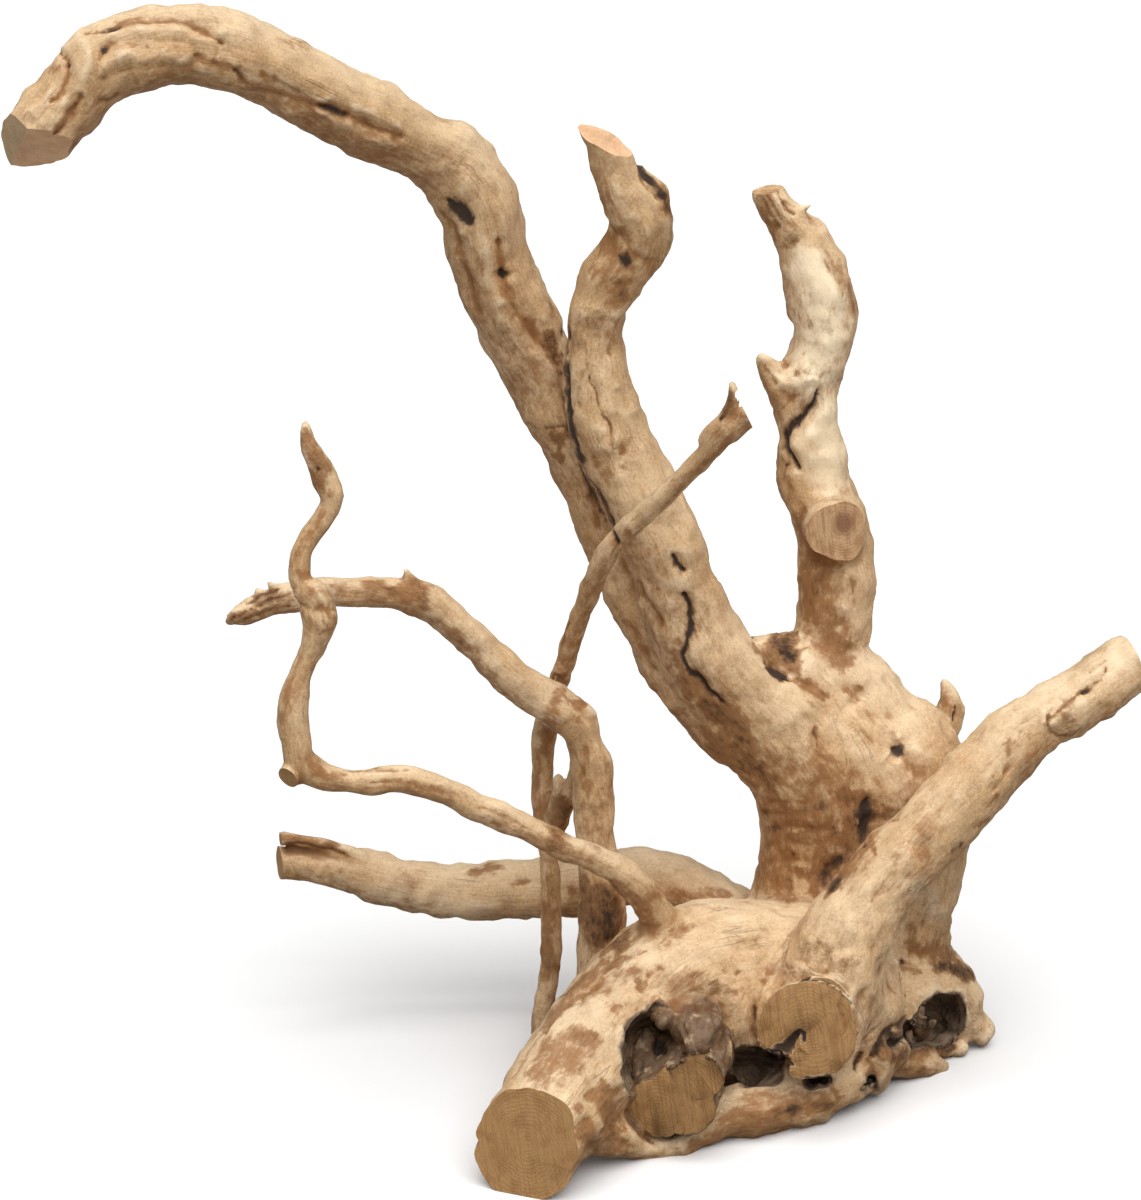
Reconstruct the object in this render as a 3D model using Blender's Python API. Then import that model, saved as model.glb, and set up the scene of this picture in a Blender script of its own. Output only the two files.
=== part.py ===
"""Polished driftwood root: one grown piece, with its limbs fused at the rootstock and its ends sawn or broken.

Lengths in the lists are millimetres. A limb's route is drawn as the front view shows it: how far right of the
drawing's middle, how far up the drawing, how far back the limb stands there, and how thick it is drawn.
"""

import math

import bmesh
import bpy
from mathutils import Matrix, Vector

MM = 0.001

# Driving dimensions of the drawing: it is looked at from in front and a little above.
EYE_DISTANCE = 1800.0
EYE_SLOPE = math.radians(20.0)
DRAWING_MIDDLE_UP = 300.0
DRAWING_BACK = 150.0
DRAWING_HEIGHT = 254.0

# The middle of the finished wood's footprint, in the drawing's own millimetres.
FOOTPRINT_MIDDLE = (12.0, 120.0)

# How the skin is made.
VOXEL = 2.6
SMOOTHING = 0.5
SMOOTHING_ROUNDS = 5
SKIN_TRIANGLES = 7600
SAW_DEPTH = 40.0
SAW_WIDTH = 90.0
SHRINK_ALLOWANCE = 1.2
FLOOR_DEPTH = 30.0
MERGE_DISTANCE = 0.02

WOOD_COLOUR = (0.62, 0.43, 0.25, 1.0)
WOOD_ROUGHNESS = 0.72

LONG_LIMB = [
    (-278, 518, 99, 36),
    (-264, 534, 103, 37),
    (-252, 549, 107, 38),
    (-236.5, 566, 113, 40.5),
    (-211, 576.5, 121, 41.5),
    (-191, 578.5, 126, 41),
    (-175, 577, 131, 41.5),
    (-156, 570, 138, 40.5),
    (-140, 561, 144, 39.5),
    (-120, 550.5, 150, 39),
    (-100, 541, 158, 39.5),
    (-76, 528, 166, 36),
    (-61, 521, 171, 37),
    (-53, 511, 174, 38),
    (-46.5, 497, 176, 38.5),
    (-44, 487, 178, 39),
    (-41, 472, 181, 40),
    (-36.5, 459, 183, 40.5),
    (-28, 441.5, 186, 40.5),
    (-19, 423.5, 187, 40),
    (-10, 409, 187, 40),
    (-1, 392, 186, 40),
    (10, 369, 184, 39),
    (23, 334, 181, 38.5),
    (32, 315, 179, 39),
    (39, 301, 177, 41),
    (49, 284, 174, 44),
    (60, 267.5, 171, 47),
    (74, 251, 168, 49),
    (92, 237, 165, 50),
    (116, 220, 162, 52),
]

FRONT_LIMB = [
    (15, 540, 136, 24),
    (17, 528, 138, 24),
    (23, 514, 140, 26),
    (31, 502, 142, 31.5),
    (33.5, 491, 144, 31.5),
    (32, 479, 146, 31),
    (27, 469, 147, 30),
    (20.5, 459.5, 148, 28),
    (15, 448, 148, 27),
    (12.5, 435, 148, 27.5),
    (12.5, 415, 147, 31),
    (15.5, 395, 147, 35),
    (21, 380, 146, 37),
    (28.5, 365, 146, 38),
    (36, 349, 145, 40),
    (45, 331, 145, 40),
    (54, 305, 146, 41),
    (60, 287, 147, 42),
    (69, 272, 148, 45),
    (84, 254, 150, 49),
    (104, 234, 154, 54),
    (118, 215, 158, 58),
    (122.5, 196, 162, 60),
    (122, 176, 163, 58),
    (120.5, 156, 162, 59),
    (118, 136, 158, 64),
    (116, 112, 150, 78),
]

UPRIGHT_LIMB = [
    (96, 507, 214, 13),
    (100, 501, 214, 16),
    (105, 493.5, 213, 20),
    (115.5, 481, 212, 24.5),
    (121, 471, 211, 31),
    (125, 458.5, 209, 34.5),
    (126, 449, 208, 34.5),
    (126.5, 435.5, 206, 31.5),
    (124.5, 424.5, 204, 30.5),
    (118, 404, 201, 34),
    (119, 393, 200, 33),
    (121, 373, 197, 37),
    (122.5, 358, 195, 38),
    (127, 347, 193, 37),
    (131.5, 328, 190, 38.5),
    (132.5, 308, 188, 39.5),
    (131.5, 290, 186, 39.5),
    (131, 275, 183, 35),
    (136, 265, 181, 35),
    (145, 254, 178, 37),
    (154, 241, 175, 42),
    (166, 225, 172, 57),
    (170.5, 205, 170, 59),
    (170.5, 182, 169, 59),
    (167.5, 165, 168, 59),
    (163, 146, 166, 57),
    (160, 131, 164, 56),
    (156, 112, 158, 62),
]

UPRIGHT_KNOB = [
    (95.5, 421, 194, 8),
    (99.5, 415, 196, 14),
    (107, 407, 198, 21),
    (115, 398, 200, 27),
]

UPRIGHT_STUB = [
    (132, 337, 190, 29),
    (132.5, 335.5, 178, 29),
    (133, 334.5, 166, 29),
    (133, 334, 158, 29),
]

BACK_SPUR = [
    (174, 220, 196, 26),
    (184, 236, 200, 18),
    (188.5, 248, 202, 12),
    (189.5, 258, 203, 9),
]

RIGHT_BRANCH = [
    (290, 280, 168, 29),
    (277, 268, 162, 30),
    (262, 257, 155, 32),
    (249, 248, 149, 31),
    (236, 239, 143, 31),
    (219.5, 226, 135, 34),
    (202.5, 208, 126, 35),
    (189, 194, 119, 36),
    (174, 179.5, 112, 36),
    (161, 165.5, 106, 37.5),
    (149, 151, 100, 41),
    (140, 137, 95, 46),
    (133, 120, 92, 50),
    (128, 102, 90, 52),
]

NECK_MIDDLE = [
    (90, 273, 168, 24),
    (104, 270, 170, 35),
    (112, 262, 170, 44),
    (124, 248, 170, 48),
    (138, 230, 167, 54),
    (146, 205, 165, 54),
    (146, 180, 164, 52),
    (144, 155, 163, 54),
    (140, 125, 156, 64),
]

BACK_ROOT = [
    (150, 165, 180, 44),
    (148, 138, 206, 38),
    (144, 120, 226, 32),
    (142, 115, 238, 22),
]

BACK_LEFT_ROOT = [
    (118, 136, 180, 42),
    (98, 118, 204, 34),
    (84, 110, 220, 26),
    (76, 106, 230, 18),
]

SAWN_FOOT = [
    (-27, 19, -6, 54),
    (-21, 30, 7, 55),
    (-9, 48, 26, 57),
    (10, 73, 52, 60),
    (30, 96, 76, 62),
    (52, 113, 95, 64),
    (76, 117, 110, 66),
    (100, 116, 122, 68),
    (128, 112, 130, 68),
]

FOOT_HEEL = [
    (-33, 11, -8, 36),
    (-29, 20, 2, 36),
    (-20, 34, 18, 40),
    (-8, 50, 36, 44),
]

FRONT_LIP = [
    (6, 40, 24, 30),
    (24, 32, 36, 24),
    (44, 32, 44, 22),
    (68, 41, 58, 24),
    (95, 48, 70, 28),
    (122, 58, 84, 31),
    (140, 69, 98, 33),
    (152, 82, 112, 36),
]

HEART_STUB = [
    (118.5, 85.5, 60, 50),
    (119, 88, 70, 51),
    (119, 95, 84, 53),
    (121, 102, 100, 56),
]

ROTTEN_STUB = [
    (49, 43, 42, 38),
    (50, 48, 52, 38),
    (54, 60, 66, 38),
    (60, 78, 84, 38),
]

RIGHT_ROOT = [
    (150, 104, 140, 52),
    (166, 101, 150, 48),
    (181, 98, 157, 44),
    (191.5, 94, 160, 33),
    (199, 89.5, 161, 23),
    (203, 87, 161, 17),
]

RIGHT_CREST = [
    (172, 112, 156, 24),
    (184, 110, 159, 25),
    (191, 106, 161, 25),
    (194, 101, 161, 24),
]

RIGHT_FLOOR_ROOT = [
    (146, 84, 118, 30),
    (162, 74, 124, 23),
    (174, 70.5, 130, 19),
    (182, 69, 134, 15),
]

RIGHT_SMALL_LUMP = [
    (170, 84, 150, 26),
    (184, 80, 150, 20),
    (193, 77, 150, 12),
]

RIGHT_CURL = [
    (138, 92, 96, 26),
    (146, 82, 96, 24),
    (151, 68, 99, 20),
    (150, 60, 104, 16),
]

ARCHED_BRANCH = [
    (-170, 289.5, 92, 9),
    (-163, 294, 93, 13),
    (-152, 298, 95, 17),
    (-136, 302, 97, 15.5),
    (-115, 304, 100, 15.5),
    (-95, 303.5, 103, 16),
    (-83, 302.5, 105, 16.5),
    (-75, 301, 106, 17),
    (-65, 296, 108, 16.5),
    (-55, 287.5, 110, 17),
    (-45, 278, 112, 18),
    (-35, 267.5, 115, 19),
    (-25, 258.5, 118, 20),
    (-14, 251.5, 120, 21.5),
    (-4, 246, 122, 22),
    (3, 239.5, 124, 22),
    (7.5, 230, 125, 20.5),
    (10.5, 219, 125.5, 20.5),
    (11.5, 200, 126, 20.5),
    (12.5, 180, 127, 20),
    (15, 160, 128, 21.5),
    (16, 148, 128.5, 24),
    (16, 138, 129, 24.5),
    (16, 120, 129, 24),
    (16, 100, 126, 28),
]

FRONT_ROOT = [
    (-132.5, 388, 62, 4),
    (-131.5, 380, 61, 8),
    (-127, 370, 60, 11),
    (-122.5, 360, 60, 13),
    (-119.5, 350, 59, 12.5),
    (-124, 340, 57, 11.5),
    (-131.5, 330, 55, 11),
    (-135, 320, 53, 10.5),
    (-135.5, 310, 51, 10.5),
    (-129, 301, 50, 14),
    (-126, 292, 49, 16),
    (-129, 280, 48, 11.5),
    (-133, 270, 47, 11),
    (-137, 260, 46, 12.5),
    (-139.5, 250, 45, 14.5),
    (-140, 240, 44.5, 15.5),
    (-138, 230, 44, 15),
    (-134, 219.5, 44, 16),
    (-126, 213.5, 45, 14.5),
    (-115, 211, 46, 13),
    (-100, 210, 48, 13),
    (-85, 211.5, 50, 13.5),
    (-65, 206, 53, 13.5),
    (-45, 196, 57, 13.5),
    (-25, 187.5, 62, 13.5),
    (-5, 178, 66, 13.5),
    (15, 170, 73, 15),
    (28, 162, 80, 17),
    (38, 151, 87, 19),
    (45, 139, 93, 20),
    (50, 126, 98, 24),
]

FRONT_ROOT_STUB = [
    (-136, 217, 45, 14),
    (-140, 213, 42, 11.5),
    (-141, 212, 38, 10.5),
]

CROSSING_ROOT = [
    (88.5, 393.5, 56, 7),
    (84, 390.5, 57, 9.5),
    (77, 384, 59, 10.5),
    (66, 373, 64, 10.5),
    (52, 359, 70, 11),
    (40, 348, 76, 11),
    (30, 338, 82, 11.5),
    (21, 327, 89, 11),
    (13, 313, 97, 11),
    (7, 299, 108, 11),
    (0.5, 280, 120, 10.5),
    (-4, 265, 133, 10.5),
    (-9.5, 247, 146, 11.5),
    (-13, 230, 152, 12),
    (-14, 212, 155, 11.5),
    (-13.5, 195, 155, 11),
    (-11, 176, 154, 10.5),
    (-10, 155, 153, 10.5),
    (-10, 130, 152, 10.5),
    (-11, 110, 151, 10),
    (-13, 96, 150, 11),
    (-12, 84, 148, 15),
    (0, 76, 144, 20),
    (18, 76, 138, 28),
    (40, 84, 132, 34),
]

CROSSING_ROOT_FORK = [
    (82, 409, 57, 3.5),
    (80, 402, 57, 7),
    (76, 393, 58, 8.5),
    (71, 383, 61, 8.5),
]

SMALL_ROUGH_ROOT = [
    (-12, 180, 152, 9),
    (-7, 190, 148, 11),
    (-5, 200, 144, 10),
    (-1, 209, 138, 8),
    (4, 218, 130, 8),
]

LOW_BRANCH = [
    (-150, 168.5, 187, 15),
    (-142, 168.5, 188, 17),
    (-117.5, 166, 192, 20),
    (-98.5, 161, 195, 22.5),
    (-79.5, 157, 197, 23.5),
    (-60, 155, 198, 25),
    (-41, 155, 198, 29),
    (-15.5, 156.5, 197, 29.5),
    (15, 158.5, 195, 29.5),
    (38, 160, 192, 28.5),
    (56, 156, 187, 28.5),
    (76, 146, 180, 30),
    (92, 131, 172, 38),
]

LOW_BRANCH_STUB = [
    (-144, 181, 184, 7),
    (-134, 180.5, 185, 8),
    (-120, 177.5, 187, 8),
    (-106, 172, 190, 7),
]

# Lumps of the rootstock: middle (right, back, up) and half sizes (right, back, up), all in real millimetres.
ROOTSTOCK_LUMPS = [
    ((92, 132, 44), (60, 60, 46)),
    ((60, 150, 28), (44, 50, 32)),
    ((120, 170, 34), (66, 60, 40)),
    ((162, 166, 32), (46, 56, 37)),
    ((124, 112, 50), (44, 36, 36)),
    ((84, 104, 62), (42, 34, 32)),
]

# Hollows in the rootstock: route of each, scooped out of the skin.
FRONT_HOLLOW = [
    (40, 72, 20, 24),
    (38, 70, 46, 30),
    (44, 74, 66, 26),
]
FRONT_HOLLOW_TOP = [
    (60, 88, 40, 16),
    (58, 86, 56, 20),
    (54, 84, 70, 18),
]
MIDDLE_HOLLOW = [
    (92, 66, 30, 16),
    (91, 67, 56, 20),
    (90, 68, 84, 20),
]
MIDDLE_HOLLOW_RIGHT = [
    (104, 66, 50, 14),
    (102, 66, 66, 14),
    (96, 67, 80, 14),
]
SMALL_HOLE = [
    (124, 59, 60, 7),
    (123, 59, 76, 8),
    (121, 60, 92, 8),
]
RIGHT_HOLLOW = [
    (186, 88, 120, 22),
    (184, 90, 142, 24),
    (180, 93, 160, 22),
]

# Sawn ends: a point on the cut and the way the cut faces, real directions (right, back, up).
SAWN_ENDS = [
    ("foot", (-20, 28.5, 4), (-0.36, -0.92, 0.13)),
    ("upright_stub", (133, 333, 162), (0.12, -0.98, -0.10)),
    ("front_limb", (17.5, 529, 138), (-0.25, -0.50, 0.83)),
    ("long_limb_left", (-276, 532, 100), (-0.80, -0.52, -0.30)),
    ("long_limb_under", (-264, 524, 103), (-0.10, -0.45, -0.89)),
    ("right_branch", (277, 268, 162), (0.90, 0.30, 0.30)),
    ("low_branch", (-145.5, 168, 188), (-0.93, -0.30, 0.0)),
]


def sight_scale(up, back):
    """How many real millimetres one drawn millimetre covers, that far up the drawing and that far back."""
    forward = EYE_DISTANCE * math.cos(EYE_SLOPE)
    rise = up - DRAWING_MIDDLE_UP
    return (back - DRAWING_BACK + forward) / (forward + rise * math.sin(EYE_SLOPE))


def spot(right, up, back):
    """The place in metres that the drawing shows there, at that depth."""
    scale = sight_scale(up, back)
    eye_height = DRAWING_HEIGHT + EYE_DISTANCE * math.sin(EYE_SLOPE)
    rise = up - DRAWING_MIDDLE_UP
    height = eye_height + scale * (rise * math.cos(EYE_SLOPE) - EYE_DISTANCE * math.sin(EYE_SLOPE))
    return real_spot(right * scale, back, height)


def real_spot(right, back, height):
    """A place given in real millimetres, in metres from the middle of the footprint."""
    return Vector((right - FOOTPRINT_MIDDLE[0], back - FOOTPRINT_MIDDLE[1], height)) * MM


def clear_scene():
    for thing in list(bpy.data.objects):
        bpy.data.objects.remove(thing)


def mesh_object(name, mesh):
    thing = bpy.data.objects.new(name, mesh)
    bpy.context.scene.collection.objects.link(thing)
    return thing


def evaluated_mesh(thing):
    """The object's mesh with its modifiers or bevel worked out. The object itself is removed."""
    graph = bpy.context.evaluated_depsgraph_get()
    mesh = bpy.data.meshes.new_from_object(thing.evaluated_get(graph))
    bpy.data.objects.remove(thing)
    return mesh


def limb_mesh(name, route):
    """A round limb along a smooth curve, with its own thickness at each point and closed ends."""
    curve = bpy.data.curves.new(name, "CURVE")
    curve.dimensions = "3D"
    curve.bevel_depth = 1.0
    curve.bevel_resolution = 4
    curve.resolution_u = 5
    curve.use_fill_caps = True
    spline = curve.splines.new("BEZIER")
    spline.bezier_points.add(len(route) - 1)
    for point, (right, up, back, thick) in zip(spline.bezier_points, route):
        point.co = spot(right, up, back)
        point.radius = (thick + SHRINK_ALLOWANCE) / 2 * sight_scale(up, back) * MM
        point.handle_left_type = "AUTO"
        point.handle_right_type = "AUTO"
    return evaluated_mesh(mesh_object(name, curve))


def lump_mesh(name, middle, half_sizes):
    shape = bmesh.new()
    bmesh.ops.create_icosphere(shape, subdivisions=4, radius=1.0)
    stretch = Matrix.Diagonal(Vector(half_sizes) * MM).to_4x4()
    bmesh.ops.transform(shape, matrix=Matrix.Translation(real_spot(*middle)) @ stretch, verts=shape.verts)
    mesh = bpy.data.meshes.new(name)
    shape.to_mesh(mesh)
    shape.free()
    return mesh


def joined(name, meshes):
    """One mesh that holds all the given ones."""
    shape = bmesh.new()
    for mesh in meshes:
        shape.from_mesh(mesh)
        bpy.data.meshes.remove(mesh)
    whole = bpy.data.meshes.new(name)
    shape.to_mesh(whole)
    shape.free()
    return whole


def fuse(thing, voxel):
    """Wraps everything in the mesh in one closed skin."""
    skin = thing.modifiers.new("one skin", "REMESH")
    skin.mode = "VOXEL"
    skin.voxel_size = voxel * MM
    return skin


def hollow_cutter():
    """The scooped shapes of the rootstock's hollows, fused where they meet."""
    hollows = {
        "front hollow": FRONT_HOLLOW,
        "front hollow top": FRONT_HOLLOW_TOP,
        "middle hollow": MIDDLE_HOLLOW,
        "middle hollow right": MIDDLE_HOLLOW_RIGHT,
        "small hole": SMALL_HOLE,
        "right hollow": RIGHT_HOLLOW,
    }
    mesh = joined("hollow cutter", [limb_mesh(name, route) for name, route in hollows.items()])
    cutter = mesh_object("hollow_cutter", mesh)
    fuse(cutter, 3.0)
    lighter = cutter.modifiers.new("lighter", "DECIMATE")
    lighter.ratio = 0.12
    return as_guide(cutter)


def saw_cutter(name, point, facing):
    """A block just outside a sawn end, with its inner face on the cut."""
    shape = bmesh.new()
    bmesh.ops.create_cube(shape, size=1.0)
    size = Matrix.Diagonal(Vector((SAW_WIDTH, SAW_WIDTH, SAW_DEPTH)) * MM).to_4x4()
    lift = Matrix.Translation(Vector((0, 0, SAW_DEPTH / 2 * MM)))
    turn = Vector(facing).to_track_quat("Z", "Y").to_matrix().to_4x4()
    bmesh.ops.transform(
        shape, matrix=Matrix.Translation(spot(*point)) @ turn @ lift @ size, verts=shape.verts
    )
    mesh = bpy.data.meshes.new(name)
    shape.to_mesh(mesh)
    shape.free()
    return as_guide(mesh_object(name, mesh))


def floor_cutter():
    """Everything under the surface that the wood stands on."""
    shape = bmesh.new()
    bmesh.ops.create_cube(shape, size=1.0)
    bmesh.ops.scale(shape, vec=Vector((700, 600, FLOOR_DEPTH)) * MM, verts=shape.verts)
    bmesh.ops.translate(shape, vec=Vector((0, 0, -FLOOR_DEPTH / 2)) * MM, verts=shape.verts)
    mesh = bpy.data.meshes.new("floor cutter")
    shape.to_mesh(mesh)
    shape.free()
    return as_guide(mesh_object("floor_cutter", mesh))


def as_guide(thing):
    thing.hide_render = True
    thing.display_type = "WIRE"
    return thing


def cut_away(thing, cutter):
    cut = thing.modifiers.new(cutter.name, "BOOLEAN")
    cut.operation = "DIFFERENCE"
    cut.solver = "EXACT"
    cut.object = cutter


def wood_material():
    material = bpy.data.materials.new("sandblasted_wood")
    material.use_nodes = True
    shader = material.node_tree.nodes["Principled BSDF"]
    shader.inputs["Base Color"].default_value = WOOD_COLOUR
    shader.inputs["Roughness"].default_value = WOOD_ROUGHNESS
    shader.inputs["Metallic"].default_value = 0.0
    return material


def baked(thing):
    """Works the modifiers into the mesh, and keeps only its largest body."""
    graph = bpy.context.evaluated_depsgraph_get()
    mesh = bpy.data.meshes.new_from_object(thing.evaluated_get(graph))
    thing.modifiers.clear()
    shape = bmesh.new()
    shape.from_mesh(mesh)
    bmesh.ops.remove_doubles(shape, verts=shape.verts, dist=MERGE_DISTANCE * MM)
    bmesh.ops.triangulate(shape, faces=shape.faces)
    bodies = separate_bodies(shape)
    for body in sorted(bodies, key=len)[:-1]:
        bmesh.ops.delete(shape, geom=body, context="VERTS")
    shape.to_mesh(mesh)
    shape.free()
    thing.data = mesh


def separate_bodies(shape):
    """Lists of vertices, one list for each body of the mesh."""
    waiting = set(shape.verts)
    bodies = []
    while waiting:
        body = [waiting.pop()]
        for vert in body:
            neighbours = {edge.other_vert(vert) for edge in vert.link_edges} & waiting
            waiting -= neighbours
            body.extend(sorted(neighbours, key=lambda near: near.index))
        bodies.append(body)
    return bodies


def fused_limbs():
    """All limbs and rootstock lumps under one softened skin, still round at its ends."""
    limbs = {
        "long limb": LONG_LIMB,
        "front limb": FRONT_LIMB,
        "upright limb": UPRIGHT_LIMB,
        "upright knob": UPRIGHT_KNOB,
        "upright stub": UPRIGHT_STUB,
        "back spur": BACK_SPUR,
        "right branch": RIGHT_BRANCH,
        "neck middle": NECK_MIDDLE,
        "back root": BACK_ROOT,
        "back left root": BACK_LEFT_ROOT,
        "sawn foot": SAWN_FOOT,
        "foot heel": FOOT_HEEL,
        "front lip": FRONT_LIP,
        "heart stub": HEART_STUB,
        "rotten stub": ROTTEN_STUB,
        "right root": RIGHT_ROOT,
        "right crest": RIGHT_CREST,
        "right floor root": RIGHT_FLOOR_ROOT,
        "right small lump": RIGHT_SMALL_LUMP,
        "right curl": RIGHT_CURL,
        "arched branch": ARCHED_BRANCH,
        "front root": FRONT_ROOT,
        "front root stub": FRONT_ROOT_STUB,
        "crossing root": CROSSING_ROOT,
        "crossing root fork": CROSSING_ROOT_FORK,
        "small rough root": SMALL_ROUGH_ROOT,
        "low branch": LOW_BRANCH,
        "low branch stub": LOW_BRANCH_STUB,
    }
    pieces = [limb_mesh(name, route) for name, route in limbs.items()]
    pieces += [lump_mesh("rootstock lump", *lump) for lump in ROOTSTOCK_LUMPS]
    wood = mesh_object("driftwood", joined("driftwood", pieces))
    fuse(wood, VOXEL)
    soften = wood.modifiers.new("soften", "SMOOTH")
    soften.factor = SMOOTHING
    soften.iterations = SMOOTHING_ROUNDS
    baked(wood)
    return wood


def driftwood():
    """The fused limbs, hollowed at the rootstock, sawn at the ends and set flat on the floor."""
    wood = fused_limbs()
    lighter = wood.modifiers.new("lighter", "DECIMATE")
    lighter.ratio = SKIN_TRIANGLES / len(wood.data.polygons)
    baked(wood)
    cut_away(wood, hollow_cutter())
    for name, point, facing in SAWN_ENDS:
        cut_away(wood, saw_cutter("saw_" + name, point, facing))
    cut_away(wood, floor_cutter())
    baked(wood)
    wood.data.materials.append(wood_material())
    for face in wood.data.polygons:
        face.use_smooth = True


clear_scene()
driftwood()
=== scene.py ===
# %% [markdown]
# # A polished driftwood root
#
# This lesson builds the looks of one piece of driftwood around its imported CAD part. The root is a single
# grown thing: limbs, thin roots and sawn stubs that melt into one knotted rootstock. The CAD part fixes
# where each of them stands and how thick it is. This file adds what the eye looks for: folds, knots,
# cracks, grain and colour. All lengths in the lists are millimetres, and Blender's own unit is the metre.

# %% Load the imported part
import itertools
import math

import bmesh
import bpy
import numpy as np
from mathutils import Matrix, Vector


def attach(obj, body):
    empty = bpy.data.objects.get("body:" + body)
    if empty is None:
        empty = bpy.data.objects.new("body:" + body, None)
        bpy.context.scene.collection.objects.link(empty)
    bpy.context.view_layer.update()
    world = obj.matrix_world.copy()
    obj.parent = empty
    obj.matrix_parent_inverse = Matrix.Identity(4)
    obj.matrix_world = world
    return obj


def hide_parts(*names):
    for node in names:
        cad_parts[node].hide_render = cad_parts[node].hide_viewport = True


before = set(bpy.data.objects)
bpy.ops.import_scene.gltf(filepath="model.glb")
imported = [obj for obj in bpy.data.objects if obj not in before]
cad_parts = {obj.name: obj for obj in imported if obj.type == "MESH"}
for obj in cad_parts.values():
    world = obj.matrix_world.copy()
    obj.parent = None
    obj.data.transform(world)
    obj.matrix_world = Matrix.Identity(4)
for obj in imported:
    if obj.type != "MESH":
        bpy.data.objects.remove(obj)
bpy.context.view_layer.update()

MM = 0.001
print("CAD nodes:", sorted(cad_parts))

# %% [markdown]
# ## The drawing
#
# Driftwood has no measurements to quote, so every limb is drawn as it is seen from in front and a little
# above. A place in the drawing is how far right of the middle and how far up it is, and a third number says
# how far back the wood stands there. Two functions go between the drawing and the real place: placed and
# drawn.

# %% The drawing's frame
EYE_DISTANCE = 1800.0
EYE_SLOPE = math.radians(20.0)
DRAWING_MIDDLE_UP = 300.0
DRAWING_BACK = 150.0
DRAWING_HEIGHT = 254.0
FOOTPRINT_MIDDLE = np.array([12.0, 120.0, 0.0])

LOOKING = np.array([0.0, math.cos(EYE_SLOPE), -math.sin(EYE_SLOPE)])
UPWARD = np.array([0.0, math.sin(EYE_SLOPE), math.cos(EYE_SLOPE)])
DRAWING_MIDDLE = np.array([0.0, DRAWING_BACK, DRAWING_HEIGHT]) - FOOTPRINT_MIDDLE
EYE = DRAWING_MIDDLE - LOOKING * EYE_DISTANCE


def placed(rows):
    """Real places and radii of drawn rows of right, up, back and thickness."""
    right, up, back, thick = np.array(rows, float).T
    rise = up - DRAWING_MIDDLE_UP
    sight = np.outer(right, (1.0, 0.0, 0.0)) + np.outer(rise, UPWARD) + LOOKING * EYE_DISTANCE
    stretch = (back - FOOTPRINT_MIDDLE[1] - EYE[1]) / sight[:, 1]
    return EYE + sight * stretch[:, None], thick / 2 * stretch


def drawn(places):
    """Where real places show in the drawing: right, up, and the distance along the line of sight."""
    away = places - EYE
    depth = away @ LOOKING
    return away[:, 0] / depth * EYE_DISTANCE, away @ UPWARD / depth * EYE_DISTANCE + DRAWING_MIDDLE_UP, depth


print("eye stands at", np.round(EYE), "mm")

# %% [markdown]
# ## The camera
#
# The camera stands where the drawing's eye is. A long lens keeps the limbs from bulging: 600 mm of height
# fills the picture at 1800 mm, which is the slope of a 36 mm sensor behind a 108 mm lens.

# %% Camera
SENSOR = 36.0
PICTURE_HEIGHT = 600.0

camera_data = bpy.data.cameras.new("camera")
camera_data.sensor_fit = "VERTICAL"
camera_data.sensor_height = SENSOR
camera_data.lens = SENSOR * EYE_DISTANCE / PICTURE_HEIGHT
camera_data.clip_end = 30.0
camera = bpy.data.objects.new("camera", camera_data)
camera.location = Vector(EYE) * MM
camera.rotation_euler = (math.pi / 2 - EYE_SLOPE, 0.0, 0.0)
bpy.context.scene.collection.objects.link(camera)
bpy.context.scene.camera = camera
print("lens", round(camera_data.lens), "mm")

# %% [markdown]
# ## The limbs
#
# Each limb is a route from its tip down into the rootstock, with its drawn thickness at each point. A real
# limb bends and swells where it grew past a stone or lost a side shoot, so a point stands wherever the
# outline turns. The last word says which limb it grew from, so that the grain can run on from one into the
# other.

# %% The three big limbs
LIMBS = {}


def limb(name, grew_from, route, flat_tip=False, in_pocket=False):
    """Notes one limb of the root. A limb in a pocket stands where other wood is scooped out."""
    LIMBS[name] = {"from": grew_from, "route": route, "flat_tip": flat_tip, "in_pocket": in_pocket}


limb("front_limb", None, [
    (11, 548, 135, 20.4), (15, 534, 138, 20.4), (18.8, 522, 140, 20.8), (23.2, 511, 141.5, 24),
    (29, 500.5, 143, 28.3), (33.5, 490, 144, 30), (32.3, 479, 146, 31), (26, 469, 147, 31),
    (19, 459.5, 148, 29),
    (13.8, 448, 148, 28), (11.8, 435, 148, 28.5), (12.3, 415, 147, 31), (15.5, 395, 147, 35),
    (21, 380, 146, 37), (28.5, 365, 146, 38), (36, 349, 145, 40), (45, 331, 145, 40),
    (54, 305, 146, 41), (60, 287, 147, 42), (69, 272, 148, 45), (84, 254, 150, 48),
    (104, 234, 154, 52), (118, 215, 158, 55), (122.5, 196, 162, 57), (122, 176, 163, 55),
    (120.5, 156, 162, 56), (118, 136, 158, 62), (116, 112, 150, 76),
])
limb("front_knot", "front_limb", [
    (35.5, 515, 141, 4), (38.5, 510, 142, 9), (41.5, 504, 142, 14),
    (41.5, 496, 143, 15.5), (38, 486, 144, 19),
])
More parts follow.
